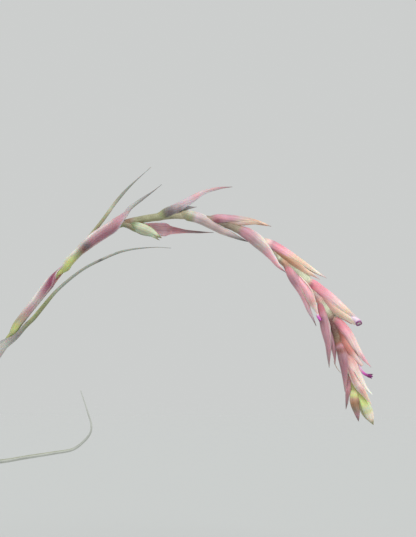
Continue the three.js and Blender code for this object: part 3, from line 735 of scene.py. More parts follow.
def bract_surface(rows, path, side, colours, margin="cream", inner="dusty", stations=None,
                  margin_width=0.16, margin_share=0.8, rise=5.0, stains_and_painted_light=(), **shape):
    """Skin of one bract, with its fields. It grows out of the scape's surface, from the scape's own radius
    to its own section within the rise, and goes over from the scape's colour to its own. The half spread
    ripples as a sine along the bract, and the wall thins in proportion to the way to the tip."""
    curve, lead, stem_radius = rooted(path)
    steps = np.linspace(0, 1, rows)
    distance = steps * lengths_along(curve)[-1]
    shares = np.clip((distance - lead) / (distance[-1] - lead), 0, 1)
    profile = station_profile(shares, stations) if stations else floral_profile(shares, **shape)
    radius, spread, facing = profile
    grown = eased(distance, 0, rise)
    radius = mixed(stem_radius - SUNK_FOOT, radius, grown)
    spread = np.radians(mixed(FOOT_SPREAD, spread, grown))
    centre, along, back, length = bract_frame(curve, steps, side, facing)
    pushed = eased(distance, rise * CLEARS_WITHIN[0], rise * CLEARS_WITHIN[1])
    centre = cleared(centre, back, radius - BRACT_WALL, pushed)
    ripple = 1 + RIPPLE * np.sin(shares * RIPPLE_RATE) * eased(shares, *RIPPLE_STARTS)
    wall = BRACT_WALL * (1 - THINNED_AT_TIP * shares)
    rings, loop, inside = crescent_rings(centre, back, along, radius, spread * ripple, wall, BRACT_COLUMNS,
                                         BRACT_KEEL, BRACT_RIBS, BRACT_RIB_HEIGHT)
    place, skin = blade_fields(shares, loop, inside, radius * spread, length)
    own_tint = bract_tint(place, side, colours, margin, inner, margin_width, margin_share, stains_and_painted_light)
    stem_tint = ramp(rings[0, :, 0].mean(), SCAPE_STOPS)
    own = eased(distance, FOOT_LEAD * COLOURS_WITHIN[0], FOOT_LEAD * COLOURS_WITHIN[1])
    tint = blend_colours(stem_tint, own_tint, own[:, None])
    return loft(rings, ("strip", "pole"), place, skin, tint)


def make_bracts(table, rows):
    """A piece for each bract of a table, all in the bract skin; the slot of an entry is not used."""
    for name, spec in table.items():
        drawn = {key: value for key, value in spec.items() if key != "slot"}
        make_piece(name, bract_surface(rows, **drawn), BRACT_SKIN)


print("points in a ring of a bract:", len(crescent_loop(BRACT_COLUMNS)[0]))

# %% [markdown]
# Scape bracts. Three bracts clothe the bare stalk below the flowers. Each rolls round it as a tight sheath
# and then leaves it as a thin grey blade. The lowest is grey-mauve with an olive blade, the next two are
# pink with a translucent white margin. Stations say how the roll opens: share of the length, radius,
# spread, facing.

# %% Scape bracts
SCAPE_BRACT_ROWS = 220
SCAPE_BRACTS = {
    "scape_bract_1": dict(
        slot="grey_bract", side=-1, inner="grey_green",
        path=[[16.5, 50.4], [27, 69], [35.6, 83.6], [40.4, 87.7], [44.2, 91.1], [47.9, 94.2], [51.3, 98.2],
              [56.5, 104.3], [65.4, 111.6], [72.4, 115.3], [80.6, 118.5], [92.2, 119.8], [97.6, 119.5]],
        stations=[[0, 1.92, 120, 0], [0.1, 1.78, 150, 0], [0.2, 1.72, 150, 0], [0.28, 1.8, 150, 0],
                  [0.34, 1.95, 150, 15], [0.37, 2.05, 95, 22], [0.39, 2.05, 70, 25], [0.41, 1.9, 62, 22],
                  [0.435, 1.4, 80, 15], [0.46, 0.95, 125, 0], [0.5, 0.8, 150, 0], [0.54, 0.72, 160, 0],
                  [0.58, 0.62, 160, 0], [0.64, 0.56, 160, 0], [0.72, 0.48, 160, 0], [0.9, 0.38, 160, 0],
                  [1, 0.18, 160, 0]],
        colours=[(0, "olive"), (0.2, "grey_green"), (0.3, "ash_lilac"), (0.36, "silver"), (0.41, "grey"),
                 (0.46, "olive"), (0.52, "olive"), (0.56, "olive"), (0.62, "grey_green"),
                 (0.86, "grey_green"), (1, "grey")],
        margin=[(0, "silver"), (0.46, "grey"), (0.49, "lime"), (0.55, "yellow_green"), (0.6, "grey_green"),
                (1, "grey")], stains_and_painted_light=[(0.768, 0.2, 0.008, 2, "dark_grey", 0.95)]),
    # The white spots along the back are a painted highlight on the lit upper edge, over the sheath's own pale
    # translucent edge.
    "scape_bract_2": dict(
        slot="pink_bract", side=1,
        path=[[39.5, 87.7], [45.3, 94.8], [50, 100.3], [55.1, 107], [59.2, 0.4, 112.3], [62, 1.4, 115.8],
              [64.9, 2.1, 120.1], [68.5, 2, 124.1], [72.9, 1.2, 129.5], [77.4, 0.8, 135.7],
              [82.1, 0.4, 141.1], [90.4, 0, 148.7]],
        stations=[[0, 1.4, 150, 0], [0.05, 1.5, 160, 0], [0.1, 1.5, 172, 10], [0.2, 1.6, 172, 12],
                  [0.3, 1.8, 168, 8], [0.36, 1.55, 95, -35], [0.41, 1.1, 85, -45], [0.45, 0.75, 145, 0],
                  [0.5, 0.62, 170, 0], [0.62, 0.64, 170, 0], [0.72, 0.62, 170, 0], [0.82, 0.54, 170, 0],
                  [0.91, 0.42, 170, 0], [1, 0.2, 170, 0]],
        colours=[(0, "pale_yellow"), (0.05, "yellow_green"), (0.085, "beige"), (0.15, "dusty"),
                 (0.2, "ash_lilac"), (0.26, "sheath_pink"), (0.3, "magenta_core"), (0.36, "magenta_core"),
                 (0.41, "pink"), (0.46, "yellow_green"), (0.56, "moss"), (0.68, "moss"), (0.74, "celadon"),
                 (0.82, "grey_green"), (1, "grey")],
        margin=[(0, "beige"), (0.12, "ash_lilac"), (0.24, "ash_lilac"), (0.29, "deep_mauve"),
                (0.33, "deep_mauve"), (0.36, "white"), (0.4, "white"), (0.46, "moss"), (1, "grey")],
        inner=[(0, "blush"), (0.33, "blush"), (0.38, "beige"), (0.46, "moss"), (1, "grey")],
        stains_and_painted_light=[(0.19, 0.06, 0.08, 0.24, "white", 0.7), (0.29, 0.02, 0.08, 0.2, "white", 0.9),
                (0.39, 0.06, 0.05, 0.3, "white", 0.9), (0.24, 0.76, 0.1, 0.05, "white", 0.5)]),
    # The white spots along the back are a painted highlight on the lit upper edge, over the sheath's own pale
    # translucent edge.
    "scape_bract_3": dict(
        slot="pink_bract", side=1,
        path=[[57.9, 110.7], [60.6, 112.9], [62.5, 114.9], [64.8, 117.3], [67.5, 120], [70.5, 122.9],
              [73.5, 125.2], [76.6, 127.2], [78.9, 129.2], [81, 131.2], [82.9, 133.9], [86, 136.3],
              [89.3, 138.6], [91.9, 140.5], [94.2, 142.4]],
        stations=[[0, 1.2, 150, 0], [0.06, 1.7, 165, 0], [0.12, 1.65, 170, 10], [0.2, 1.55, 170, 15],
                  [0.28, 2.0, 170, 15], [0.36, 2.25, 170, 15], [0.44, 2.25, 168, 15], [0.51, 2.2, 160, 10],
                  [0.56, 2.0, 150, 10], [0.61, 1.5, 135, 5], [0.67, 0.95, 140, 0], [0.74, 0.68, 160, 0],
                  [0.8, 0.54, 168, 0], [0.88, 0.42, 168, 0], [0.94, 0.34, 168, 0], [1, 0.18, 168, 0]],
        colours=[(0, "yellow_green"), (0.13, "yellow_green"), (0.19, "olive"), (0.24, "maroon"),
                 (0.28, "shadow_plum"), (0.33, "deep_mauve"), (0.44, "sheath_pink"), (0.54, "dusty"),
                 (0.59, "mauve"), (0.66, "lilac"), (0.74, "silver"), (0.84, "grey"), (1, "dark_grey")],
        margin=[(0, "yellow_green"), (0.2, "blush"), (0.6, "pale_pink"), (0.75, "grey"), (1, "grey")],
        inner=[(0, "blush"), (0.6, "pink"), (0.75, "grey"), (1, "grey")],
        stains_and_painted_light=[(0.05, 0.08, 0.08, 0.2, "white", 0.95), (0.17, 0.08, 0.07, 0.24, "white", 0.9),
                (0.33, 0.08, 0.12, 0.2, "white", 0.75), (0.5, 0.05, 0.08, 0.18, "white", 0.6),
                (0.51, 0.75, 0.05, 0.2, "magenta_core", 0.45)]),
}
make_bracts(SCAPE_BRACTS, SCAPE_BRACT_ROWS)
print("scape bracts:", {name: made_faces[name] for name in SCAPE_BRACTS})

# %% [markdown]
# Floral bracts. They stand in two ranks, left and right in turn, and each covers the foot of the next.
# Every list of colours runs from foot to tip. Most are rose on the backs that face the light and mauve
# below, with cream margins, and grey where the tip has dried.

# %% Floral bracts
FLORAL_BRACT_ROWS = 110
FLORAL_BRACTS = {
    "floral_bract_01": dict(
        slot="pink_bract", side=-1, rise=3.5,
        path=[[84.6, 1.6, 126.9], [89, 2.4, 126.4], [94.7, 2, 126.2], [99.4, 1.8, 125.8], [106.6, 2, 125.3],
              [112.9, 2.4, 125.1]],
        stations=[[0, 1.4, 104, -70], [0.2, 2.3, 104, -70], [0.36, 2.5, 104, -70], [0.41, 2.3, 104, -70],
                  [0.45, 1.5, 108, -70], [0.54, 1.1, 112, -70], [0.64, 0.62, 120, -70],
                  [0.78, 0.42, 130, -70], [1, 0.25, 130, -70]],
        colours=[(0, "pink"), (0.25, "pink"), (0.38, "mauve"), (0.5, "pink"), (0.62, "dusty"), (0.75, "grey"),
                 (1, "dark_grey")], margin=[(0, "pale_pink"), (0.6, "pink"), (1, "grey")],
        inner=[(0, "pale_pink"), (0.38, "pale_pink"), (0.5, "dusty"), (1, "grey")]),
    # The shadow_plum inner side and the two shadow_plum spots are painted shade on this bract.
    "floral_bract_02": dict(
        slot="pink_bract", side=1, girth=1.65, facing=(12, 0), fall=1.15, inner="shadow_plum",
        path=[[93.6, 131], [96.6, 132.3], [100.2, 134.1], [103.8, 136.1], [107, 138], [110.5, 139.7],
              [114.8, 140.9], [119.7, 141.5]],
        colours=[(0, "yellow_green"), (0.06, "olive"), (0.12, "grey_green"), (0.24, "lilac"), (0.45, "lilac"),
                 (0.54, "pink"), (0.6, "lilac"), (0.7, "ash_lilac"), (0.88, "dusty"), (1, "dark_grey")],
        margin=[(0, "olive"), (0.2, "pale_pink"), (0.7, "pale_pink"), (1, "grey")],
        stains_and_painted_light=[(0.13, 0.55, 0.1, 0.5, "shadow_plum", 0.95), (0.25, 0.75, 0.07, 0.3, "shadow_plum", 0.6),
                (0.55, 0.1, 0.08, 1.0, "ash_lilac", 0.45)]),
    # The white spot at 0.3 is a painted highlight on the upper edge; the white near the foot is the pale
    # sheath.
    "floral_bract_03": dict(
        slot="lilac_bract", side=-1, facing=(50, 40), girth=1.88, rise=3.5,
        path=[[102.2, 131.5], [105.1, 131], [108.7, 129.8], [112.3, 128], [115.9, 125.9],
              [119.5, -0.3, 124.2], [122.8, -0.5, 122.7], [125.3, -0.6, 121.8]],
        colours=[(0, "moss"), (0.1, "moss"), (0.18, "lilac"), (0.28, "ash_lilac"), (0.65, "ash_lilac"),
                 (0.82, "grey"), (1, "dark_grey")],
        margin=[(0, "pale_pink"), (0.5, "white"), (0.8, "ash_lilac"), (1, "grey")],
        stains_and_painted_light=[(0.3, 0.9, 0.1, 0.2, "white", 0.8), (0.08, 0.8, 0.06, 0.4, "white", 0.7),
                (0.12, -0.1, 0.05, 0.4, "olive", 0.6)]),
    # The wine margin near the foot and the wine spot by the near margin are painted shade in the crease.
    "floral_bract_04": dict(
        slot="pink_bract", side=1, facing=(-15, -30), girth=1.7, inner="peach", margin_share=0.9,
        path=[[111.6, 129.8], [117.4, 129.8], [124.6, 129.3], [128.5, 128.7], [133.7, 127.3]],
        colours=[(0, "dusty"), (0.12, "mauve"), (0.35, "mauve"), (0.5, "ash_lilac"), (0.75, "tan"),
                 (0.88, "peach"), (1, "grey")],
        margin=[(0, "wine"), (0.3, "mauve"), (0.6, "peach"), (1, "ash_lilac")],
        stains_and_painted_light=[(0.12, 0.85, 0.08, 0.3, "wine", 0.9)]),
    # The cream spot is a painted highlight on the lit upper edge.
    "floral_bract_05": dict(
        slot="mauve_bract", side=-1, facing=(55, 50), spread=100, girth=2.4, fall=1.25, margin_width=0.26,
        margin_share=0.9,
        path=[[122, 126.2], [126.1, -0.2, 124], [130.6, -0.6, 120.2], [134, -1.1, 116.3],
              [136.2, -1.6, 113.1], [138.9, -1.9, 110.7]],
        colours=[(0, "mauve"), (0.15, "mauve"), (0.4, "ash_lilac"), (0.48, "ash_lilac"), (0.6, "pink"),
                 (0.85, "pink"), (1, "dark_grey")],
        margin=[(0, "rose"), (0.25, "white"), (0.7, "white"), (1, "pale_pink")],
        stains_and_painted_light=[(0.4, 0.75, 0.12, 0.25, "cream", 0.6)]),
    # The wine and rust margin near the foot is painted shade along the lower edge.
    "floral_bract_06": dict(
        slot="pink_bract", side=1, facing=(5, -8), inner="peach", girth=1.9, foot=1.8, margin_share=0.85,
        path=[[130.8, 121.5], [133.2, 120.7], [136.3, 119], [140.5, 116.3], [145.4, 113.3], [149.3, 111],
              [153.6, 108.6]],
        colours=[(0, "cream"), (0.06, "blush"), (0.12, "mauve"), (0.22, "rose"), (0.34, "light_rose"),
                 (0.48, "peach"), (0.66, "peach"), (0.85, "cream"), (1, "lilac")],
        margin=[(0, "wine"), (0.25, "rust"), (0.5, "salmon"), (0.8, "cream"), (1, "lilac")]),
    "floral_bract_07": dict(
        slot="mauve_bract", side=-1, facing=(42, 36), girth=2.0, belly=0.28, fall=1.1, foot=1.5,
        path=[[139.1, 113.8], [141, -0.3, 110.1], [143.1, -0.6, 106.8], [144.9, -0.9, 103.5],
              [146.3, -1.1, 99.9], [147.3, -1.1, 96.8], [148.7, -1.1, 94], [149.8, -1, 91.4]],
        colours=[(0, "mauve"), (0.08, "rose"), (0.2, "mauve"), (0.34, "mauve"), (0.46, "pink"), (0.6, "pink"),
                 (0.85, "lilac"), (1, "dark_grey")], margin=[(0, "rose"), (0.3, "blush"), (1, "pale_pink")],
        stains_and_painted_light=[(0.24, 0.0, 0.1, 0.3, "deep_mauve", 0.4)]),
    # The wine, rust and salmon margin near the foot and the two wine spots on the near side are painted
    # shade.
    "floral_bract_08": dict(
        slot="pink_bract", side=1, facing=(30, 8), inner="peach", girth=2.0, tip=0.95, foot=1.95,
        margin_share=0.9,
        path=[[146.6, 107.6], [149.2, 105.8], [151.9, 103.7], [154.9, 101.4], [157.8, 98.8], [160.4, 96.6],
              [162.9, 94.5], [165.5, 92.6]],
        colours=[(0, "salmon"), (0.08, "rose"), (0.22, "rose"), (0.38, "light_rose"), (0.58, "blush"),
                 (0.75, "peach"), (0.86, "lilac"), (1, "lilac")],
        margin=[(0, "wine"), (0.3, "rust"), (0.45, "salmon"), (0.6, "cream"), (1, "lilac")],
        stains_and_painted_light=[(0.07, 0.6, 0.07, 0.35, "wine", 0.8), (0.2, 0.75, 0.1, 0.14, "wine", 0.5)]),
    "floral_bract_09": dict(
        slot="mauve_bract", side=-1, facing=(40, 36), girth=1.85, belly=0.4, fall=1.2, foot=1.5,
        path=[[151.5, 100.4], [151.9, -0.3, 96.8], [152.8, -0.5, 92.9], [153.5, -0.6, 88.9],
              [154.2, -0.6, 85], [154.3, -0.5, 81], [154.5, -0.4, 76.4]],
        colours=[(0, "tan"), (0.05, "deep_rose"), (0.13, "deep_rose"), (0.22, "mauve"), (0.3, "dusty"),
                 (0.5, "mauve"), (0.75, "dusty"), (1, "grey")],
        margin=[(0, "rose"), (0.3, "mauve"), (1, "ash_lilac")],
        stains_and_painted_light=[(0.3, -0.1, 0.08, 0.4, "wine", 0.5), (0.38, 0.85, 0.18, 0.12, "white", 0.75)]),
    # The rust foot, the maroon and rust margin and the wine and rust spots on the near side are painted
    # shade; the cream spot on the back ridge is a painted highlight.
    "floral_bract_10": dict(
        slot="pink_bract", side=1, facing=(20, 0), inner="salmon", girth=2.1, foot=1.7, margin_share=0.9,
        path=[[155.5, 94], [157.8, 92.4], [159.8, 90], [161.8, 87], [163.7, 83.7], [166.3, 80.1],
              [169.6, 76.5]],
        colours=[(0, "rust"), (0.08, "deep_rose"), (0.2, "rose"), (0.34, "light_rose"), (0.5, "blush"),
                 (0.66, "blush"), (0.78, "pink"), (0.88, "pink"), (1, "lilac")],
        margin=[(0, "maroon"), (0.3, "rust"), (0.5, "salmon"), (0.75, "blush"), (1, "pink")],
        stains_and_painted_light=[(0.12, 0.8, 0.1, 0.3, "wine", 0.6), (0.34, 0.95, 0.14, 0.2, "rust", 0.8),
                (0.52, -0.1, 0.2, 0.3, "cream", 0.8)]),
    "floral_bract_11": dict(
        slot="mauve_bract", side=-1, facing=(42, 40), girth=1.85, foot=1.4, fall=1.3,
        path=[[157.5, 86.5], [159, -0.5, 82.1], [159.8, -0.9, 77.8], [160.1, -1.2, 73.4],
              [160.1, -1.4, 67.8]],
        colours=[(0, "brown"), (0.07, "rust"), (0.13, "mauve"), (0.22, "rust"), (0.3, "dusty"),
                 (0.5, "deep_mauve"), (0.85, "dusty"), (1, "grey")],
        margin=[(0, "rust"), (0.4, "blush"), (1, "ash_lilac")],
        stains_and_painted_light=[(0.22, 0.1, 0.07, 0.5, "maroon", 0.7)]),
    "floral_bract_12": dict(
        slot="cream_sepal", side=1, girth=2.15, facing=(35, 5), foot=1.6, fall=1.3, margin_share=0.9,
        path=[[160.1, 81.2], [162, 78.8], [163.4, 75.3], [165.4, 72], [167.6, 68.9], [170.1, 66.7]],
        colours=[(0, "dusty"), (0.15, "salmon"), (0.34, "blush"), (0.5, "cream"), (1, "white")],
        margin=[(0, "rust"), (0.3, "salmon"), (0.6, "white"), (1, "white")],
        stains_and_painted_light=[(0.08, -0.3, 0.08, 0.4, "rust", 0.6)]),
    "floral_bract_13": dict(
        slot="mauve_bract", side=-1, facing=(15, 10), foot=1.6, girth=1.1, margin="ash_lilac",
        path=[[161.6, 73.2], [161.6, 0.6, 69.5], [161.2, 0.6, 65.6], [160.6, 0.3, 61.4]],
        colours=[(0, "deep_mauve"), (0.3, "pink"), (0.6, "dusty"), (1, "dark_grey")]),
    "tip_bract": dict(
        slot="brown_bract", side=-1, foot=1.4, girth=1.95, facing=(25, 25), rise=3.0, spread=130,
        path=[[163.6, 69.1], [163.8, 66.2], [164, 63.2], [164.5, 60.5], [165.1, 57.1]],
        colours=[(0, "lime"), (0.13, "bright_lime"), (0.2, "lime"), (0.32, "tan"), (0.46, "orange_brown"),
                 (0.62, "rib_brown"), (0.8, "dusty"), (1, "dark_grey")],
        margin=[(0, "lime"), (0.3, "peach"), (0.6, "tan"), (0.8, "salmon"), (1, "grey")],
        stains_and_painted_light=[(0.45, 0.7, 0.1, 0.3, "brown", 0.6)]),
    "node_bract": dict(
        slot="brown_bract", side=-1, foot=1.0, girth=1.15, spread=100, rise=2.0, margin="beige",
        path=[[82.2, -0.7, 127.6], [84.3, -1.3, 126.7], [86.1, -1.6, 125.6], [87.9, -1.5, 124.4]],
        colours=[(0, "rib_brown"), (0.4, "olive"), (1, "brown")]),
}
make_bracts(FLORAL_BRACTS, FLORAL_BRACT_ROWS)
print("floral bracts:", len(FLORAL_BRACTS), "with", triangles_of(FLORAL_BRACTS), "triangles")

# %% [markdown]
# Calyces. Three sepals stand round the flower and overlap in a spiral, pointed at the tip. Each sepal is a
# crescent like a bract, on a spindle's outline: a quarter sine up to the belly and a quarter cosine down to
# the tip. The three stand a third of a turn apart and are wider than that, each a hair further out than the
# last. One calyx ends in a thin dry thread, which is three sepals again, drawn out very fine.

# %% Sepals
SEPAL_ROWS, SEPAL_COLUMNS, SEPAL_KEEL, SEPAL_RIBS, SEPAL_RIB_HEIGHT = 56, 15, 0.08, 5, 0.015
SHORTER_BY, FURTHER_OUT_BY, NARROWED_AT_TIP = 0.05, 0.06, 0.35
SEPAL_MARGIN = (0.55, 1.0)
TO_VIEWER = (0, -1, 0)


def turned(back, along, angle):
    """Directions turned about the path by an angle in radians."""
    return back * math.cos(angle) + np.cross(along, back) * math.sin(angle)


def spindle_radius(shares, girth, foot, tip, belly):
    """Outline of a bud: quarter sine from foot to girth, quarter cosine from girth to tip."""
    rising = mixed(foot, girth, np.sin(math.pi / 2 * np.clip(shares / belly, 0, 1)))
    falling = mixed(tip, girth, np.cos(math.pi / 2 * np.clip((shares - belly) / (1 - belly), 0, 1)))
    return np.where(shares < belly, rising, falling)


def sepals_surface(path, girth, colours, foot=0.9, tip=0.06, belly=0.38, count=3, spread=78.0, first_turn=0.0,
                   margin="cream", rows=SEPAL_ROWS, columns=SEPAL_COLUMNS, wall=0.16):
    """Skins of the sepals of one bud as one. Each is a little shorter and wider in radius than the last."""
    curve = smooth_path(path)
    shares = np.linspace(0, 1, rows)
    half = np.radians(spread) * (1 - NARROWED_AT_TIP * shares**2)
    surfaces = []
    for number in range(count):
        centre, along, length = read_path(curve, np.linspace(0, 1 - SHORTER_BY * number, rows))
        turn = math.radians(first_turn + 360 / count * number)
        back = turned(carried_back(along, TO_VIEWER), along, turn)
        radius = spindle_radius(shares, girth, foot, tip, belly) * (1 + FURTHER_OUT_BY * number)
        rings, loop, inside = crescent_rings(centre, back, along, radius, half, np.full(rows, wall), columns,
                                             SEPAL_KEEL, SEPAL_RIBS, SEPAL_RIB_HEIGHT)
        place, skin = blade_fields(shares, loop, inside, radius * half, length)
        edge = eased(np.abs(place[..., 1]), *SEPAL_MARGIN)
        tint = blend_colours(ramp(place[..., 0], colours), COLOURS[margin], edge)
        surfaces.append(loft(rings, ("strip", "pole"), place, skin, tint))
    return joined(surfaces)


print("radius along a bud:", spindle_radius(np.linspace(0, 1, 6), 2.0, 0.9, 0.06, 0.38).round(2), "mm")

# %% Calyces
CALYCES = {
    "calyx_02": dict(
        girth=1.0, margin="grey", path=[[95, 131.8], [98.4, 132.7], [101.6, 133.7], [106.9, 134.3]],
        colours=[(0, "shadow_plum"), (1, "grey")]),
    "calyx_04": dict(
        girth=1.35, belly=0.55, margin="peach",
        path=[[112.3, 129.7], [116.3, 129.2], [121, 129], [125.3, 129], [128.5, 128.7], [131.8, 127.8]],
        colours=[(0, "wine"), (0.25, "tan"), (0.5, "blush"), (0.8, "peach"), (1, "salmon")]),
    "calyx_06": dict(
        girth=1.5, belly=0.5,
        path=[[132.7, 119.9], [136.1, -0.3, 117.9], [139.5, -0.5, 115.6], [142.7, -0.6, 113.5],
              [145.7, -0.5, 111.3], [148.6, -0.3, 109.8], [151.1, 108.2]],
        colours=[(0, "rust"), (0.35, "orange_brown"), (0.6, "tan"), (0.8, "peach"), (1, "lilac")]),
    "calyx_07": dict(
        girth=1.7, belly=0.5,
        path=[[141.8, 110.4], [144, -1, 107.4], [146.5, -1.7, 103.8], [148.2, -2, 100.4], [149.5, -2, 97.5],
              [150.8, -1.8, 94.8]],
        colours=[(0, "rose"), (0.35, "light_rose"), (0.52, "light_rose"), (0.68, "salmon"), (0.8, "blush"),
                 (1, "blush")]),
    "calyx_08": dict(
        girth=1.75, belly=0.6, tip=1.28,
        path=[[147.6, 106.6], [150.8, 103.5], [153.8, 100.2], [156.7, 97.4], [159.8, 95.4], [164.2, 92.6]],
        colours=[(0, "rust"), (0.45, "salmon"), (0.7, "peach"), (1, "cream")]),
    "calyx_09": dict(
        girth=1.15, belly=0.6, margin="blush",
        path=[[152.3, 97.6], [154.1, 0.4, 91.1], [156, 0.4, 84.6], [156.7, 0.2, 77.6]],
        colours=[(0, "mauve"), (1, "dusty")]),
    "calyx_10": dict(
        girth=1.65, belly=0.5, tip=0.65, margin="salmon",
        path=[[156.5, 92.9], [158.5, 89.2], [160.7, 85.2], [163.4, 81], [166.4, 77.2]],
        colours=[(0, "maroon"), (0.3, "rust"), (0.42, "salmon_red"), (0.65, "salmon_red"), (0.8, "blush"),
                 (1, "blush")]),
    "calyx_12": dict(
        girth=1.45, belly=0.5,
        path=[[161.1, -0.6, 78.1], [162.7, -1.2, 74.3], [164.5, -1.6, 70.8], [166.8, -2, 67.4],
              [169.6, -2.4, 63.1]],
        colours=[(0, "dusty"), (0.3, "salmon"), (0.5, "blush"), (0.65, "salmon"), (0.8, "peach"),
                 (1, "cream")]),
}
THREADED = "calyx_09"
THREAD = dict(
    path=[[156.2, 0.2, 78.8], [156.5, 77.8], [157.8, 75.6], [159.2, 74]], girth=0.1, foot=0.08, tip=0.03,
    wall=0.05, colours=[(0, "salmon"), (0.4, "tan"), (0.75, "peach"), (1, "cream")])
for name, spec in CALYCES.items():
    calyx = sepals_surface(**spec)
    if name == THREADED:
        calyx = joined([calyx, sepals_surface(**THREAD)])
    make_piece(name, calyx, SEPAL_SKIN)
print("calyces:", len(CALYCES), "with", triangles_of(CALYCES), "triangles")

# %% [markdown]
# Corollas. Three flowers show petals. They are rolled into a tube that is pale inside its calyx and turns
# purple at the mouth, where the petal tips flare. The tube is a rod with a hollow mouth: the profile runs
# out along the tube, over the lip and back inside, and three waves round the lip make the petal tips.

# %% Petal tubes
TUBE_ROWS, THROAT_ROWS, TUBE_COLUMNS = 40, 20, 30
TUBE_BELLY, OPENS_FROM = 0.6, 0.75
THROAT_WIDTH, THROAT_END = 0.86, 0.04
PETALS, LOBES_FROM, LOBE_SPREAD = 3, 0.7, 0.35
THROAT_SHARE, THROAT_STARTS = 0.9, (1.0, 0.9)


def corolla_surface(path, colours, girth, mouth, flare, throat="violet", foot=0.42, depth=0.16):
    """Skin of a petal tube. Its radius swells from foot to girth and opens to the mouth. The last rows turn
    over the lip and go back inside as a funnel that ends in a pole. A cosine round the lip draws the petal
    tips out by the flare."""
    outer = np.linspace(0, 1, TUBE_ROWS)
    shares = np.concatenate([outer, np.linspace(1, 1 - depth * 2, THROAT_ROWS)])
    tube = spindle_radius(np.minimum(outer / OPENS_FROM, 1), girth, foot, girth, TUBE_BELLY)
    tube = np.where(outer > OPENS_FROM, mixed(girth, mouth, eased(outer, OPENS_FROM, 1)), tube)
    funnel = mixed(mouth * THROAT_WIDTH, THROAT_END, eased(np.linspace(0, 1, THROAT_ROWS), 0, 1))
    radius = np.concatenate([tube, funnel])
    centre, along, length = read_path(smooth_path(path), shares)
    rings, turn = round_rings(centre, carried_back(along, TO_VIEWER), along, radius, TUBE_COLUMNS)
    lobes = np.cos(PETALS * turn)[None, :] * eased(shares, LOBES_FROM, 1)[:, None] * flare
    rings = rings + along[:, None] * lobes[..., None]
    outward = unit(rings - centre[:, None])
    rings = rings + outward * (np.maximum(lobes, 0) * LOBE_SPREAD)[..., None]
    place, skin = rod_fields(shares, turn, radius, length)
    place[TUBE_ROWS:, :, 2] = 1.0
    tint = ramp(place[..., 0], colours)
    reached = THROAT_SHARE * place[..., 2] * eased(shares, *THROAT_STARTS)[:, None]
    tint = blend_colours(tint, COLOURS[throat], reached)
    return loft(rings, ("pole", "pole"), place, skin, tint)


print("rows of a petal tube:", TUBE_ROWS, "outside and", THROAT_ROWS, "inside")

# %% Corollas
COROLLAS = {
    "corolla_07": dict(
        girth=0.55, foot=0.5, mouth=0.6, throat="violet", flare=0.5,
        path=[[150.1, -1.9, 95.5], [150.5, -2.3, 94.7], [151.1, -2.7, 93.8]],
        colours=[(0, "pale_violet"), (0.5, "magenta"), (1, "magenta")]),
    "corolla_08": dict(
        girth=1.1, mouth=1.15, flare=0.08, foot=0.8, throat="white", depth=0.06,
        path=[[159.9, 96], [161.9, -0.2, 94.7], [163.7, -0.6, 93.7], [164.9, -1.2, 93], [165.1, -1.8, 92.2]],
        colours=[(0, "pale_violet"), (0.84, "pale_violet"), (0.95, "violet"), (1, "violet")]),
    "corolla_10": dict(
        girth=0.5, mouth=0.8, flare=0.5,
        path=[[165.1, 78.5], [166, 75.8], [167, 74.4], [168.3, 73.7], [169.6, 73.4]],
        colours=[(0, "pale_violet"), (0.3, "pale_violet"), (0.6, "magenta"), (0.85, "violet"),
                 (1, "violet")]),
}
for name, spec in COROLLAS.items():
    make_piece(name, corolla_surface(**spec), PETAL_SKIN)
print("corollas:", len(COROLLAS), "with", triangles_of(COROLLAS), "triangles")

# %% [markdown]
# Buds. The green bud at the lowest node is a closed flower whose sepals already part at their tips. The end
# of the spike is a closed bud too: two pale green bracts wrapped round each other.

# %% Buds
GREEN_COLOURS = [(0, "dark_olive"), (0.15, "olive"), (0.28, "celadon"), (0.55, "celadon"),
                 (0.8, "pale_green"), (0.93, "olive"), (1, "dark_grey")]
GREEN_FOOT = [[82.6, -0.6, 128.1], [86.2, -1.5, 126.8], [90.2, -1.7, 125.2]]
GREEN_SEPALS = [
    ([94.3, -1.0, 123.1], dict(girth=2.0, count=2, spread=100, first_turn=0)),
    ([93.6, -1.7, 122.3], dict(girth=1.95, count=1, spread=90, first_turn=60)),
    ([93.2, -0.6, 124.4], dict(girth=1.85, count=1, spread=90, first_turn=-70)),
]
green_bud = []
for end, shape in GREEN_SEPALS:
    green_bud.append(sepals_surface(GREEN_FOOT + [end], colours=GREEN_COLOURS, foot=0.6, belly=0.42,
                                    margin="olive", wall=0.2, **shape))
make_piece("bud_01", joined(green_bud), SEPAL_SKIN)
TIP_COLOURS = [(0, "yellow_green"), (0.34, "lime"), (0.44, "lime"), (0.56, "pale_green"),
               (0.64, "pale_yellow"), (0.73, "cream"), (0.84, "cream"), (0.93, "moss"), (1, "olive")]
TIP_PATH = [[164, 69.1], [165.9, 65.6], [167.6, 62], [168.9, 59], [170.4, 55.8]]
# The moss margin, turned by first_turn to the lower left, is painted shade on the bud's lower-left edge.
tip_bud = sepals_surface(TIP_PATH, 2.1, TIP_COLOURS, foot=0.8, belly=0.64, count=2, spread=118,
                         first_turn=-34, margin="moss", rows=80, columns=25, wall=0.25)
make_piece("tip_bud", tip_bud, SEPAL_SKIN)
print("buds:", made_faces["bud_01"], made_faces["tip_bud"])

# %% [markdown]
# Leaves and bulb. The bulb is hollow-looking because it is nothing but leaf sheaths, each blown out like a
# spoon and lying in the next one. The first leaf is the lowest and outermost, and each next one stands
# 137.5 degrees further round and one layer further in. Above its sheath a leaf rolls up into a narrow
# channel.

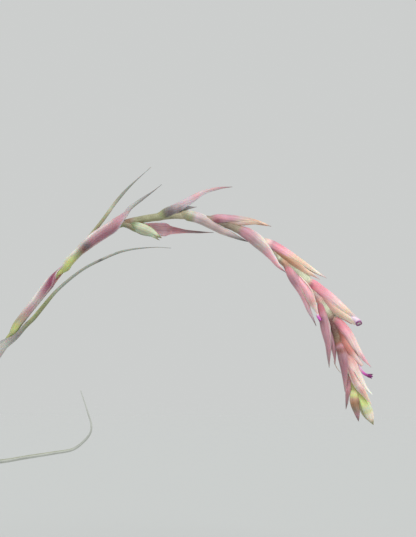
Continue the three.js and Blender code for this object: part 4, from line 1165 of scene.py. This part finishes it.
# %% Bulb outline
BULB_RADIUS, BULB_BOTTOM_RADIUS, GIRTH_HEIGHT = 15.0, 8.0, 17.0
NECK_RADIUS, NECK_HEIGHT, LEAN = 4.4, 42.0, 0.3
SHEATH_BOTTOM, SHEATH_BOTTOM_STEP, SHEATH_TOP, SHEATH_TOP_STEP = 2.6, 1.1, 18.0, 2.4
LAYER_PITCH, FACET_SAG = 0.92, 0.044
STARTS_BELOW, FULL_BELOW, ENDS_BELOW, GONE_ABOVE = 2.8, 0.8, 2, 7


def bulb_axis(z):
    """Middle of the bulb at a height: it leans towards +X."""
    return np.stack([LEAN * z, np.zeros_like(z), z], axis=-1)


def bulb_radius(z):
    """Outline of the bulb: a quarter sine up to the girth, half a cosine wave from there to the neck."""
    below = mixed(BULB_BOTTOM_RADIUS, BULB_RADIUS, np.sin(math.pi / 2 * np.clip(z / GIRTH_HEIGHT, 0, 1)))
    way = np.clip((z - GIRTH_HEIGHT) / (NECK_HEIGHT - GIRTH_HEIGHT), 0, 1)
    above = mixed(NECK_RADIUS, BULB_RADIUS, 0.5 + 0.5 * np.cos(math.pi * way))
    return np.where(z < GIRTH_HEIGHT, below, above)


def sheath_span(i):
    """Heights of a sheath's foot and top."""
    return SHEATH_BOTTOM + SHEATH_BOTTOM_STEP * i, SHEATH_TOP + SHEATH_TOP_STEP * i


def layer_radius(sheaths, z):
    """Radius left inside the first sheaths. Each takes a pitch, and a share of the radius for the flat
    sides of the frame's solids, from just below its foot to above its top."""
    z = np.asarray(z, float)
    radius = bulb_radius(z)
    for j in range(sheaths):
        bottom, top = sheath_span(j)
        begun = eased(z, bottom - STARTS_BELOW, bottom - FULL_BELOW)
        room = begun * (1 - eased(z, top - ENDS_BELOW, top + GONE_ABOVE))
        radius = radius - room * (LAYER_PITCH + FACET_SAG * radius)
    return radius


print("radius left at the girth inside 0, 5 and 10 sheaths:",
      [round(float(layer_radius(sheaths, GIRTH_HEIGHT)), 1) for sheaths in (0, 5, 10)])

# %% Leaf paths
LEAF_PATHS = [
    [[23, -13, 20.5], [30, -20, 15], [37, -28, 6], [44, -36, 0.1], [54, -45, 0.2], [64, -50, 5],
     [71, -50, 12]],
    [[1, 20, 22], [-4, 29, 16], [-8, 38, 6], [-11, 47, 0.1], [-10, 58, 0.4], [-4, 67, 5], [3, 70, 13],
     [9, 66, 20]],
    [[-3, -17, 25], [-9, -27, 20], [-14, -37, 9], [-20, -46, 0.2], [-30, -54, 0.6], [-42, -56, 7],
     [-50, -50, 15], [-51, -40, 22]],
    [[22.5, 7.5, 26.6], [27.5, 15, 21], [31, 23, 11], [33.5, 32, 2.2], [38, 42, -0.1], [45, 49, 1.2],
     [52, 50, 5]],
    [[-6, 7, 31], [-17, 12, 34], [-31, 18, 31], [-45, 22, 22], [-58, 18, 16], [-68, 8, 18], [-70, -5, 26],
     [-64, -12, 34], [-55, -9, 39]],
    [[14, -13, 34], [17, -24, 38], [18, -38, 38], [14, -52, 33], [6, -64, 30], [-6, -70, 34], [-14, -66, 43],
     [-14, -56, 50], [-6, -50, 51]],
    [[14, 11, 38], [16, 21, 46], [14, 34, 52], [8, 47, 52], [-3, 57, 48], [-15, 60, 50], [-22, 54, 59],
     [-20, 44, 66], [-11, 40, 69]],
    [[0, -6, 41], [-9, -12, 50], [-21, -17, 57], [-36, -19, 60], [-50, -14, 58], [-60, -4, 60], [-61, 8, 69],
     [-55, 16, 76], [-46, 15, 80]],
    [[21, -4.2, 40.8], [29, -7.3, 42.6], [37.1, -10, 43], [47.1, -10.8, 44.7], [55.8, -11.6, 46.2],
     [63.4, -12.4, 47.8], [67, -13.2, 50.5], [69.6, -14, 53.8], [70.1, -14.8, 56.8], [68.7, -15.6, 61.9],
     [66.2, -16.4, 69.3]],
    [[8, 7, 49], [2, 14, 62], [-6, 21, 76], [-12, 24, 91], [-11, 20, 106], [-3, 12, 115], [6, 6, 113],
     [9, 3, 105]],
]
LEAF_RADII = [1.8, 1.8, 1.8, 1.7, 1.7, 1.65, 1.6, 1.6, 0.95, 1.5]
LEAF_COLOURS = [(0, "brown"), (0.05, "beige"), (0.14, "silver"), (0.3, "leaf_green"), (0.7, "leaf_green"),
                (0.93, "grey"), (1, "brown")]
CURLED_COLOURS = [(0, "beige"), (0.14, "silver"), (0.3, "silver"), (1, "silver")]
CURLED_LEAF = 8
LEAVES = len(LEAF_PATHS)
print("leaf paths:", LEAVES)

# %% Sheaths and blades
FIRST_TURN, LEAF_TURN = -35.0, 137.5
SHEATH_ROWS, SHEATH_SPREAD, SHEATH_END_HALF_WIDTH, NARROWS_FROM = 60, 118.0, 4.0, 0.25
CORNER_HEIGHT, CORNER_SPREAD = 4.0, 0.82
BLADE_ROWS, BLADE_SPREAD, ROLL_LENGTH, BLADE_LEAD = 170, 112.0, 20.0, 4
BLADE_TIP, TAPER, CURLED_TAPER = 0.14, 1.7, 2.4
LEAF_WRAP = 0.22
UPRIGHT = (0.0, 0.0, 1.0)
leaf_turns = [FIRST_TURN + LEAF_TURN * i for i in range(LEAVES)]


def sheath_part(i, radial):
    """What the rings of a sheath are made from. They are arcs about the bulb's axis. Their half spread
    narrows to the sheath's end, and quarter circles round off the two lower corners."""
    bottom, top = sheath_span(i)
    z = np.linspace(bottom, top, SHEATH_ROWS, endpoint=False)
    radius = layer_radius(i, z)
    narrowed = eased(z, mixed(bottom, top, NARROWS_FROM), top)
    spread = mixed(math.radians(SHEATH_SPREAD), SHEATH_END_HALF_WIDTH / radius, narrowed)
    corner = np.clip((z - bottom) / CORNER_HEIGHT, 0, 1)
    spread = spread * mixed(CORNER_SPREAD, 1, np.sqrt(1 - (1 - corner) ** 2))
    return {"centre": bulb_axis(z), "back": np.tile(radial, (SHEATH_ROWS, 1)),
            "along": np.tile(UPRIGHT, (SHEATH_ROWS, 1)), "radius": radius, "spread": spread,
            "wrap": np.full(SHEATH_ROWS, LEAF_WRAP)}


def blade_part(i, radial):
    """What the rings of a blade are made from. They follow the leaf's path, and their curvature goes over
    from the bulb's to the channel's within the roll length. The channel narrows as a power of the way."""
    top = sheath_span(i)[1]
    lead = np.array([top - BLADE_LEAD, top])
    curve = smooth_path([*(bulb_axis(lead) + radial * layer_radius(i, lead)[:, None]), *LEAF_PATHS[i]])
    whole = lengths_along(curve)[-1]
    start = lengths_along(curve)[PATH_SAMPLES] / whole
    shares = np.linspace(0, 1, BLADE_ROWS)
    at = mixed(start, 1, shares)
    middle, along, _ = read_path(curve, at)
    back = carried_back(along, radial)
    rolled = eased((at - start) * whole, 0, ROLL_LENGTH)
    channel = mixed(LEAF_RADII[i], BLADE_TIP, shares ** (CURLED_TAPER if i == CURLED_LEAF else TAPER))
    radius = 1 / mixed(1 / layer_radius(i, top), 1 / channel, rolled)
    half_width = mixed(SHEATH_END_HALF_WIDTH, channel * math.radians(BLADE_SPREAD), rolled)
    spread = np.minimum(half_width / radius, math.radians(BLADE_SPREAD))
    return {"centre": middle - back * radius[:, None], "back": back, "along": along, "radius": radius,
            "spread": spread, "wrap": LEAF_WRAP * (1 - rolled)}


print("leaves stand at", [turn % 360 for turn in leaf_turns], "degrees")

# %% Leaves
LEAF_WALL, LEAF_COLUMNS, LEAF_RIBS, LEAF_RIB_HEIGHT = 0.5, 33, 9, 0.03
JOIN_ROWS, JOIN_PASSES = 18, 70
PALE_MARGIN, PALE_SHARE, GREEN_SHARE = (0.7, 1.0), 0.6, 0.5


def eased_join(rings, join):
    """Rows on both sides of a join, each moved again and again half way to the mean of the rows next to it,
    so that the sheath bends into the blade without a crease."""
    rings = rings.copy()
    first, last = join - JOIN_ROWS, join + JOIN_ROWS
    for _ in range(JOIN_PASSES):
        means = 0.5 * (rings[first - 1:last - 1] + rings[first + 1:last + 1])
        rings[first:last] = 0.5 * (rings[first:last] + means)
    return rings


def leaf_surface(i):
    """Skin of one leaf: the rings of its sheath and of its blade in one stack, kept above the ground, with
    silver margins and a greener inner side."""
    turn = math.radians(leaf_turns[i])
    radial = np.array([math.cos(turn), math.sin(turn), 0.0])
    sheath, blade = sheath_part(i, radial), blade_part(i, radial)
    part = {key: np.concatenate([sheath[key], blade[key]]) for key in sheath}
    radius, spread = part["radius"], part["spread"]
    wall = np.full(len(radius), LEAF_WALL)
    rings, loop, inside = crescent_rings(part["centre"], part["back"], part["along"], radius, spread, wall,
                                         LEAF_COLUMNS, 0.0, LEAF_RIBS, LEAF_RIB_HEIGHT, part["wrap"][:, None])
    rings = eased_join(rings, SHEATH_ROWS)
    rings[..., 2] = np.maximum(rings[..., 2], 0.0)
    length = lengths_along(part["centre"] + part["back"] * radius[:, None])
    place, skin = blade_fields(length / length[-1], loop, inside, radius * spread, length[-1])
    tint = ramp(place[..., 0], CURLED_COLOURS if i == CURLED_LEAF else LEAF_COLOURS)
    tint = blend_colours(tint, COLOURS["silver"], PALE_SHARE * eased(np.abs(place[..., 1]), *PALE_MARGIN))
    tint = blend_colours(tint, COLOURS["olive"], GREEN_SHARE * (place[..., 2] > INNER_SIDE))
    return loft(rings, ("strip", "pole"), place, skin, tint)


leaf_names = [f"leaf_{i + 1:02d}" for i in range(LEAVES)]
for i, name in enumerate(leaf_names):
    make_piece(name, leaf_surface(i), LEAF_SKIN)
print("leaves:", LEAVES, "with", triangles_of(leaf_names), "triangles")

# %% [markdown]
# Stem. The scape, the rootstock inside the bulb and the root stubs grew as one piece. A scape isn't a plain
# tube: it swells a little at each node, where a bract sits, has low ribs along it and fine wrinkles across.
# An air plant's roots are only wiry holdfasts, brown and dry.

# %% Scape skin
SCAPE_ROWS, SCAPE_COLUMNS, FLUTES, FLUTE_DEPTH = 760, 22, 7, 0.035
NODE_BELOW_FOOT, NODE_LENGTH, NODE_SWELL, MOST_BELLS = 0.6, 1.3, 0.1, 1.2
WAVE_HEIGHT, WAVE_RATE = 0.015, 5.2
WRINKLE_RATE, WRINKLE_BEND, WRINKLE_BENDS, WRINKLES_WITHIN = 8, 1.5, 3, (60, 90)
WRINKLE_SHADE, WRINKLE_SHARE = 0.5, 0.35


def scape_surface():
    """Skin of the scape. Its radius has a low bell at each node, and a fine sine along it. The wrinkles are
    dark lines where a sine along it, bent by a sine round it, is high."""
    shares = np.linspace(0, 1, SCAPE_ROWS)
    centre, along, length = read_path(scape_curve, shares)
    distance = shares * length
    feet = np.array([in_space(spec["path"][0]) for spec in {**SCAPE_BRACTS, **FLORAL_BRACTS}.values()])
    foot_distance = scape_distance[nearest_on_scape(feet)]
    off = (distance[:, None] - foot_distance[None, :] + NODE_BELOW_FOOT) / NODE_LENGTH
    bells = np.minimum(np.exp(-(off**2)).sum(axis=1), MOST_BELLS)
    radius = np.interp(distance, scape_distance, skin_radii)
    radius = radius * (1 + NODE_SWELL * bells) + WAVE_HEIGHT * np.sin(distance * WAVE_RATE)
    back = carried_back(along, (0, 1, 0))
    rings, turn = round_rings(centre, back, along, radius, SCAPE_COLUMNS, FLUTES, FLUTE_DEPTH)
    place, skin = rod_fields(shares, turn, radius, length)
    x = np.broadcast_to(rings[..., 0].mean(axis=1, keepdims=True), rings.shape[:2])
    tint = ramp(x, SCAPE_STOPS)
    wave = np.sin(distance[:, None] * WRINKLE_RATE + WRINKLE_BEND * np.sin(WRINKLE_BENDS * turn))
    wrinkle = eased(distance, *WRINKLES_WITHIN)[:, None] * (0.5 + 0.5 * wave)
    tint = blend_colours(tint, tint * WRINKLE_SHADE, WRINKLE_SHARE * wrinkle**2)
    return loft(rings, ("pole", "pole"), place, skin, tint)


scape_skin = scape_surface()
print("scape skin:", len(scape_skin["points"]), "points")

# %% Roots and rootstock
ROOTS, ROOT_ROWS, ROOT_COLUMNS = 6, 40, 10
FIRST_ROOT_TURN, ROOT_TURN = 20, 77
ROOT_REACH, REACH_CHANGE, REACH_RATE = 12, 1.5, 2.3
ROOT_BEND, BEND_RATE = 18, 1.7
ROOT_WAVE, ROOT_WAVE_RATE, ROOT_BASE_RADIUS, ROOT_TIP_RADIUS = 0.12, 21, 0.5, 0.3
STOCK_ROWS, STOCK_COLUMNS, STOCK_SHOULDER, STOCK_GAP, FOOT_RADIUS = 50, 40, 19, 0.3, 6.2
STOCK_TOP = [(22.0, 2.4), (24.0, 0.05)]
FOOT_MIDDLE_RADIUS = 0.01


def root_surface(i):
    """Skin of one root stub: a thin wire that leaves the rootstock and runs along the ground. Its points
    say how far out, how far round and how high. A sine and a cosine of its number change its reach and its
    bend, so that no two are alike."""
    turn = math.radians(FIRST_ROOT_TURN + ROOT_TURN * i)
    reach = ROOT_REACH + REACH_CHANGE * math.sin(REACH_RATE * i)
    bend = math.radians(ROOT_BEND * math.cos(BEND_RATE * i))
    stops = [(4.5, 0.0, 1.0), (8.0, bend / 2, 0.8), (reach, bend, 0.3)]
    path = [(r * math.cos(turn + extra), r * math.sin(turn + extra), z) for r, extra, z in stops]
    shares = np.linspace(0, 1, ROOT_ROWS)
    centre, along, length = read_path(smooth_path(path), shares)
    centre[:, 1] += ROOT_WAVE * np.sin(shares * ROOT_WAVE_RATE + i)
    radius = mixed(ROOT_BASE_RADIUS, ROOT_TIP_RADIUS, shares)
    rings, around = round_rings(centre, carried_back(along, UPRIGHT), along, radius, ROOT_COLUMNS)
    rings[..., 2] = np.maximum(rings[..., 2], 0.0)
    place, skin = rod_fields(shares, around, radius, length)
    tint = np.broadcast_to(COLOURS["root_brown"], rings.shape)
    return loft(rings, ("pole", "pole"), place, skin, tint)


def rootstock_surface():
    """Skin of the rootstock: rings about the bulb's leaning axis, as wide as the layers leave room. Its
    foot is a flat disc that the plant rests on."""
    heights = np.linspace(0, STOCK_SHOULDER, STOCK_ROWS)
    widths = layer_radius(LEAVES, heights) - STOCK_GAP
    widths[0] = FOOT_RADIUS
    top_heights, top_widths = zip(*STOCK_TOP)
    z = np.concatenate([[0.0], heights, top_heights])
    radius = np.concatenate([[FOOT_MIDDLE_RADIUS], widths, top_widths])
    back, along = np.tile([1.0, 0.0, 0.0], (len(z), 1)), np.tile(UPRIGHT, (len(z), 1))
    rings, turn = round_rings(bulb_axis(z), back, along, radius, STOCK_COLUMNS)
    place, skin = rod_fields(z / z[-1], turn, radius, z[-1])
    tint = np.broadcast_to(COLOURS["brown"], rings.shape)
    return loft(rings, ("pole", "pole"), place, skin, tint)


make_piece("stem", joined([scape_skin, rootstock_surface()] + [root_surface(i) for i in range(ROOTS)]),
           STEM_SKIN)
print("stem:", made_faces["stem"], "triangles; whole plant:", sum(made_faces.values()))

# %% [markdown]
# Stage. The plant stands on a plain pale floor that lies a hair below it. Far from the plant the floor
# gives way to the plain background, whose grey it has, so there is no horizon from any side. The fade is in
# metres from the middle, because a shader measures in metres.

# %% Floor
FLOOR_RADIUS, FLOOR_SIDES, FLOOR_DROP = 1200.0, 96, 0.02
FLOOR_COLOUR, FLOOR_ROUGHNESS, FLOOR_SPECULAR = paint(191, 193, 192), 0.9, 0.1
FLOOR_FADE = {"From_Min": 0.35, "From_Max": 1.1}

around = np.linspace(0, 2 * math.pi, FLOOR_SIDES, endpoint=False)
rim = np.stack([np.cos(around) * FLOOR_RADIUS, np.sin(around) * FLOOR_RADIUS,
                np.full(FLOOR_SIDES, -FLOOR_DROP)], axis=-1) * MM
floor_mesh = bpy.data.meshes.new("floor")
floor_mesh.from_pydata(rim.tolist(), [], [list(range(FLOOR_SIDES))])
floor = bpy.data.objects.new("floor", floor_mesh)
bpy.context.scene.collection.objects.link(floor)

floor_material = bpy.data.materials.new("pale floor")
floor_material.use_nodes = True
tree = floor_material.node_tree
floor_shader = tree.nodes["Principled BSDF"]
floor_shader.inputs["Base Color"].default_value = (*FLOOR_COLOUR, 1.0)
floor_shader.inputs["Roughness"].default_value = FLOOR_ROUGHNESS
floor_shader.inputs["Specular IOR Level"].default_value = FLOOR_SPECULAR
ground = node(tree, "ShaderNodeTexCoord")
far = ordered_node(tree, "ShaderNodeVectorMath", {"operation": "LENGTH"}, ground.outputs["Object"])
fade = node(tree, "ShaderNodeMapRange", SMOOTH, Value=far.outputs["Value"], **FLOOR_FADE)
clear = node(tree, "ShaderNodeBsdfTransparent")
either = ordered_node(tree, "ShaderNodeMixShader", None, fade.outputs[0], floor_shader.outputs[0],
                      clear.outputs[0])
feed(tree, tree.nodes["Material Output"].inputs["Surface"], either.outputs[0])
floor_mesh.materials.append(floor_material)
print("floor:", FLOOR_RADIUS * MM * 2, "m across")

# %% World and light
BACKGROUND = paint(203, 205, 204)

world = bpy.data.worlds.new("studio")
world.use_nodes = True
world.node_tree.nodes["Background"].inputs["Color"].default_value = (*BACKGROUND, 1.0)
bpy.context.scene.world = world


def sun(name, strength, softness, azimuth, elevation):
    """A far soft light: it comes from the azimuth and elevation, in degrees, and its disc is that wide."""
    data = bpy.data.lights.new(name, "SUN")
    data.energy = strength
    data.angle = math.radians(softness)
    lamp = bpy.data.objects.new(name, data)
    lamp.rotation_euler = (math.radians(90 - elevation), 0, math.radians(azimuth))
    bpy.context.scene.collection.objects.link(lamp)


sun("key", strength=2.0, softness=50, azimuth=30, elevation=56)
bpy.context.scene.view_settings.view_transform = "Standard"
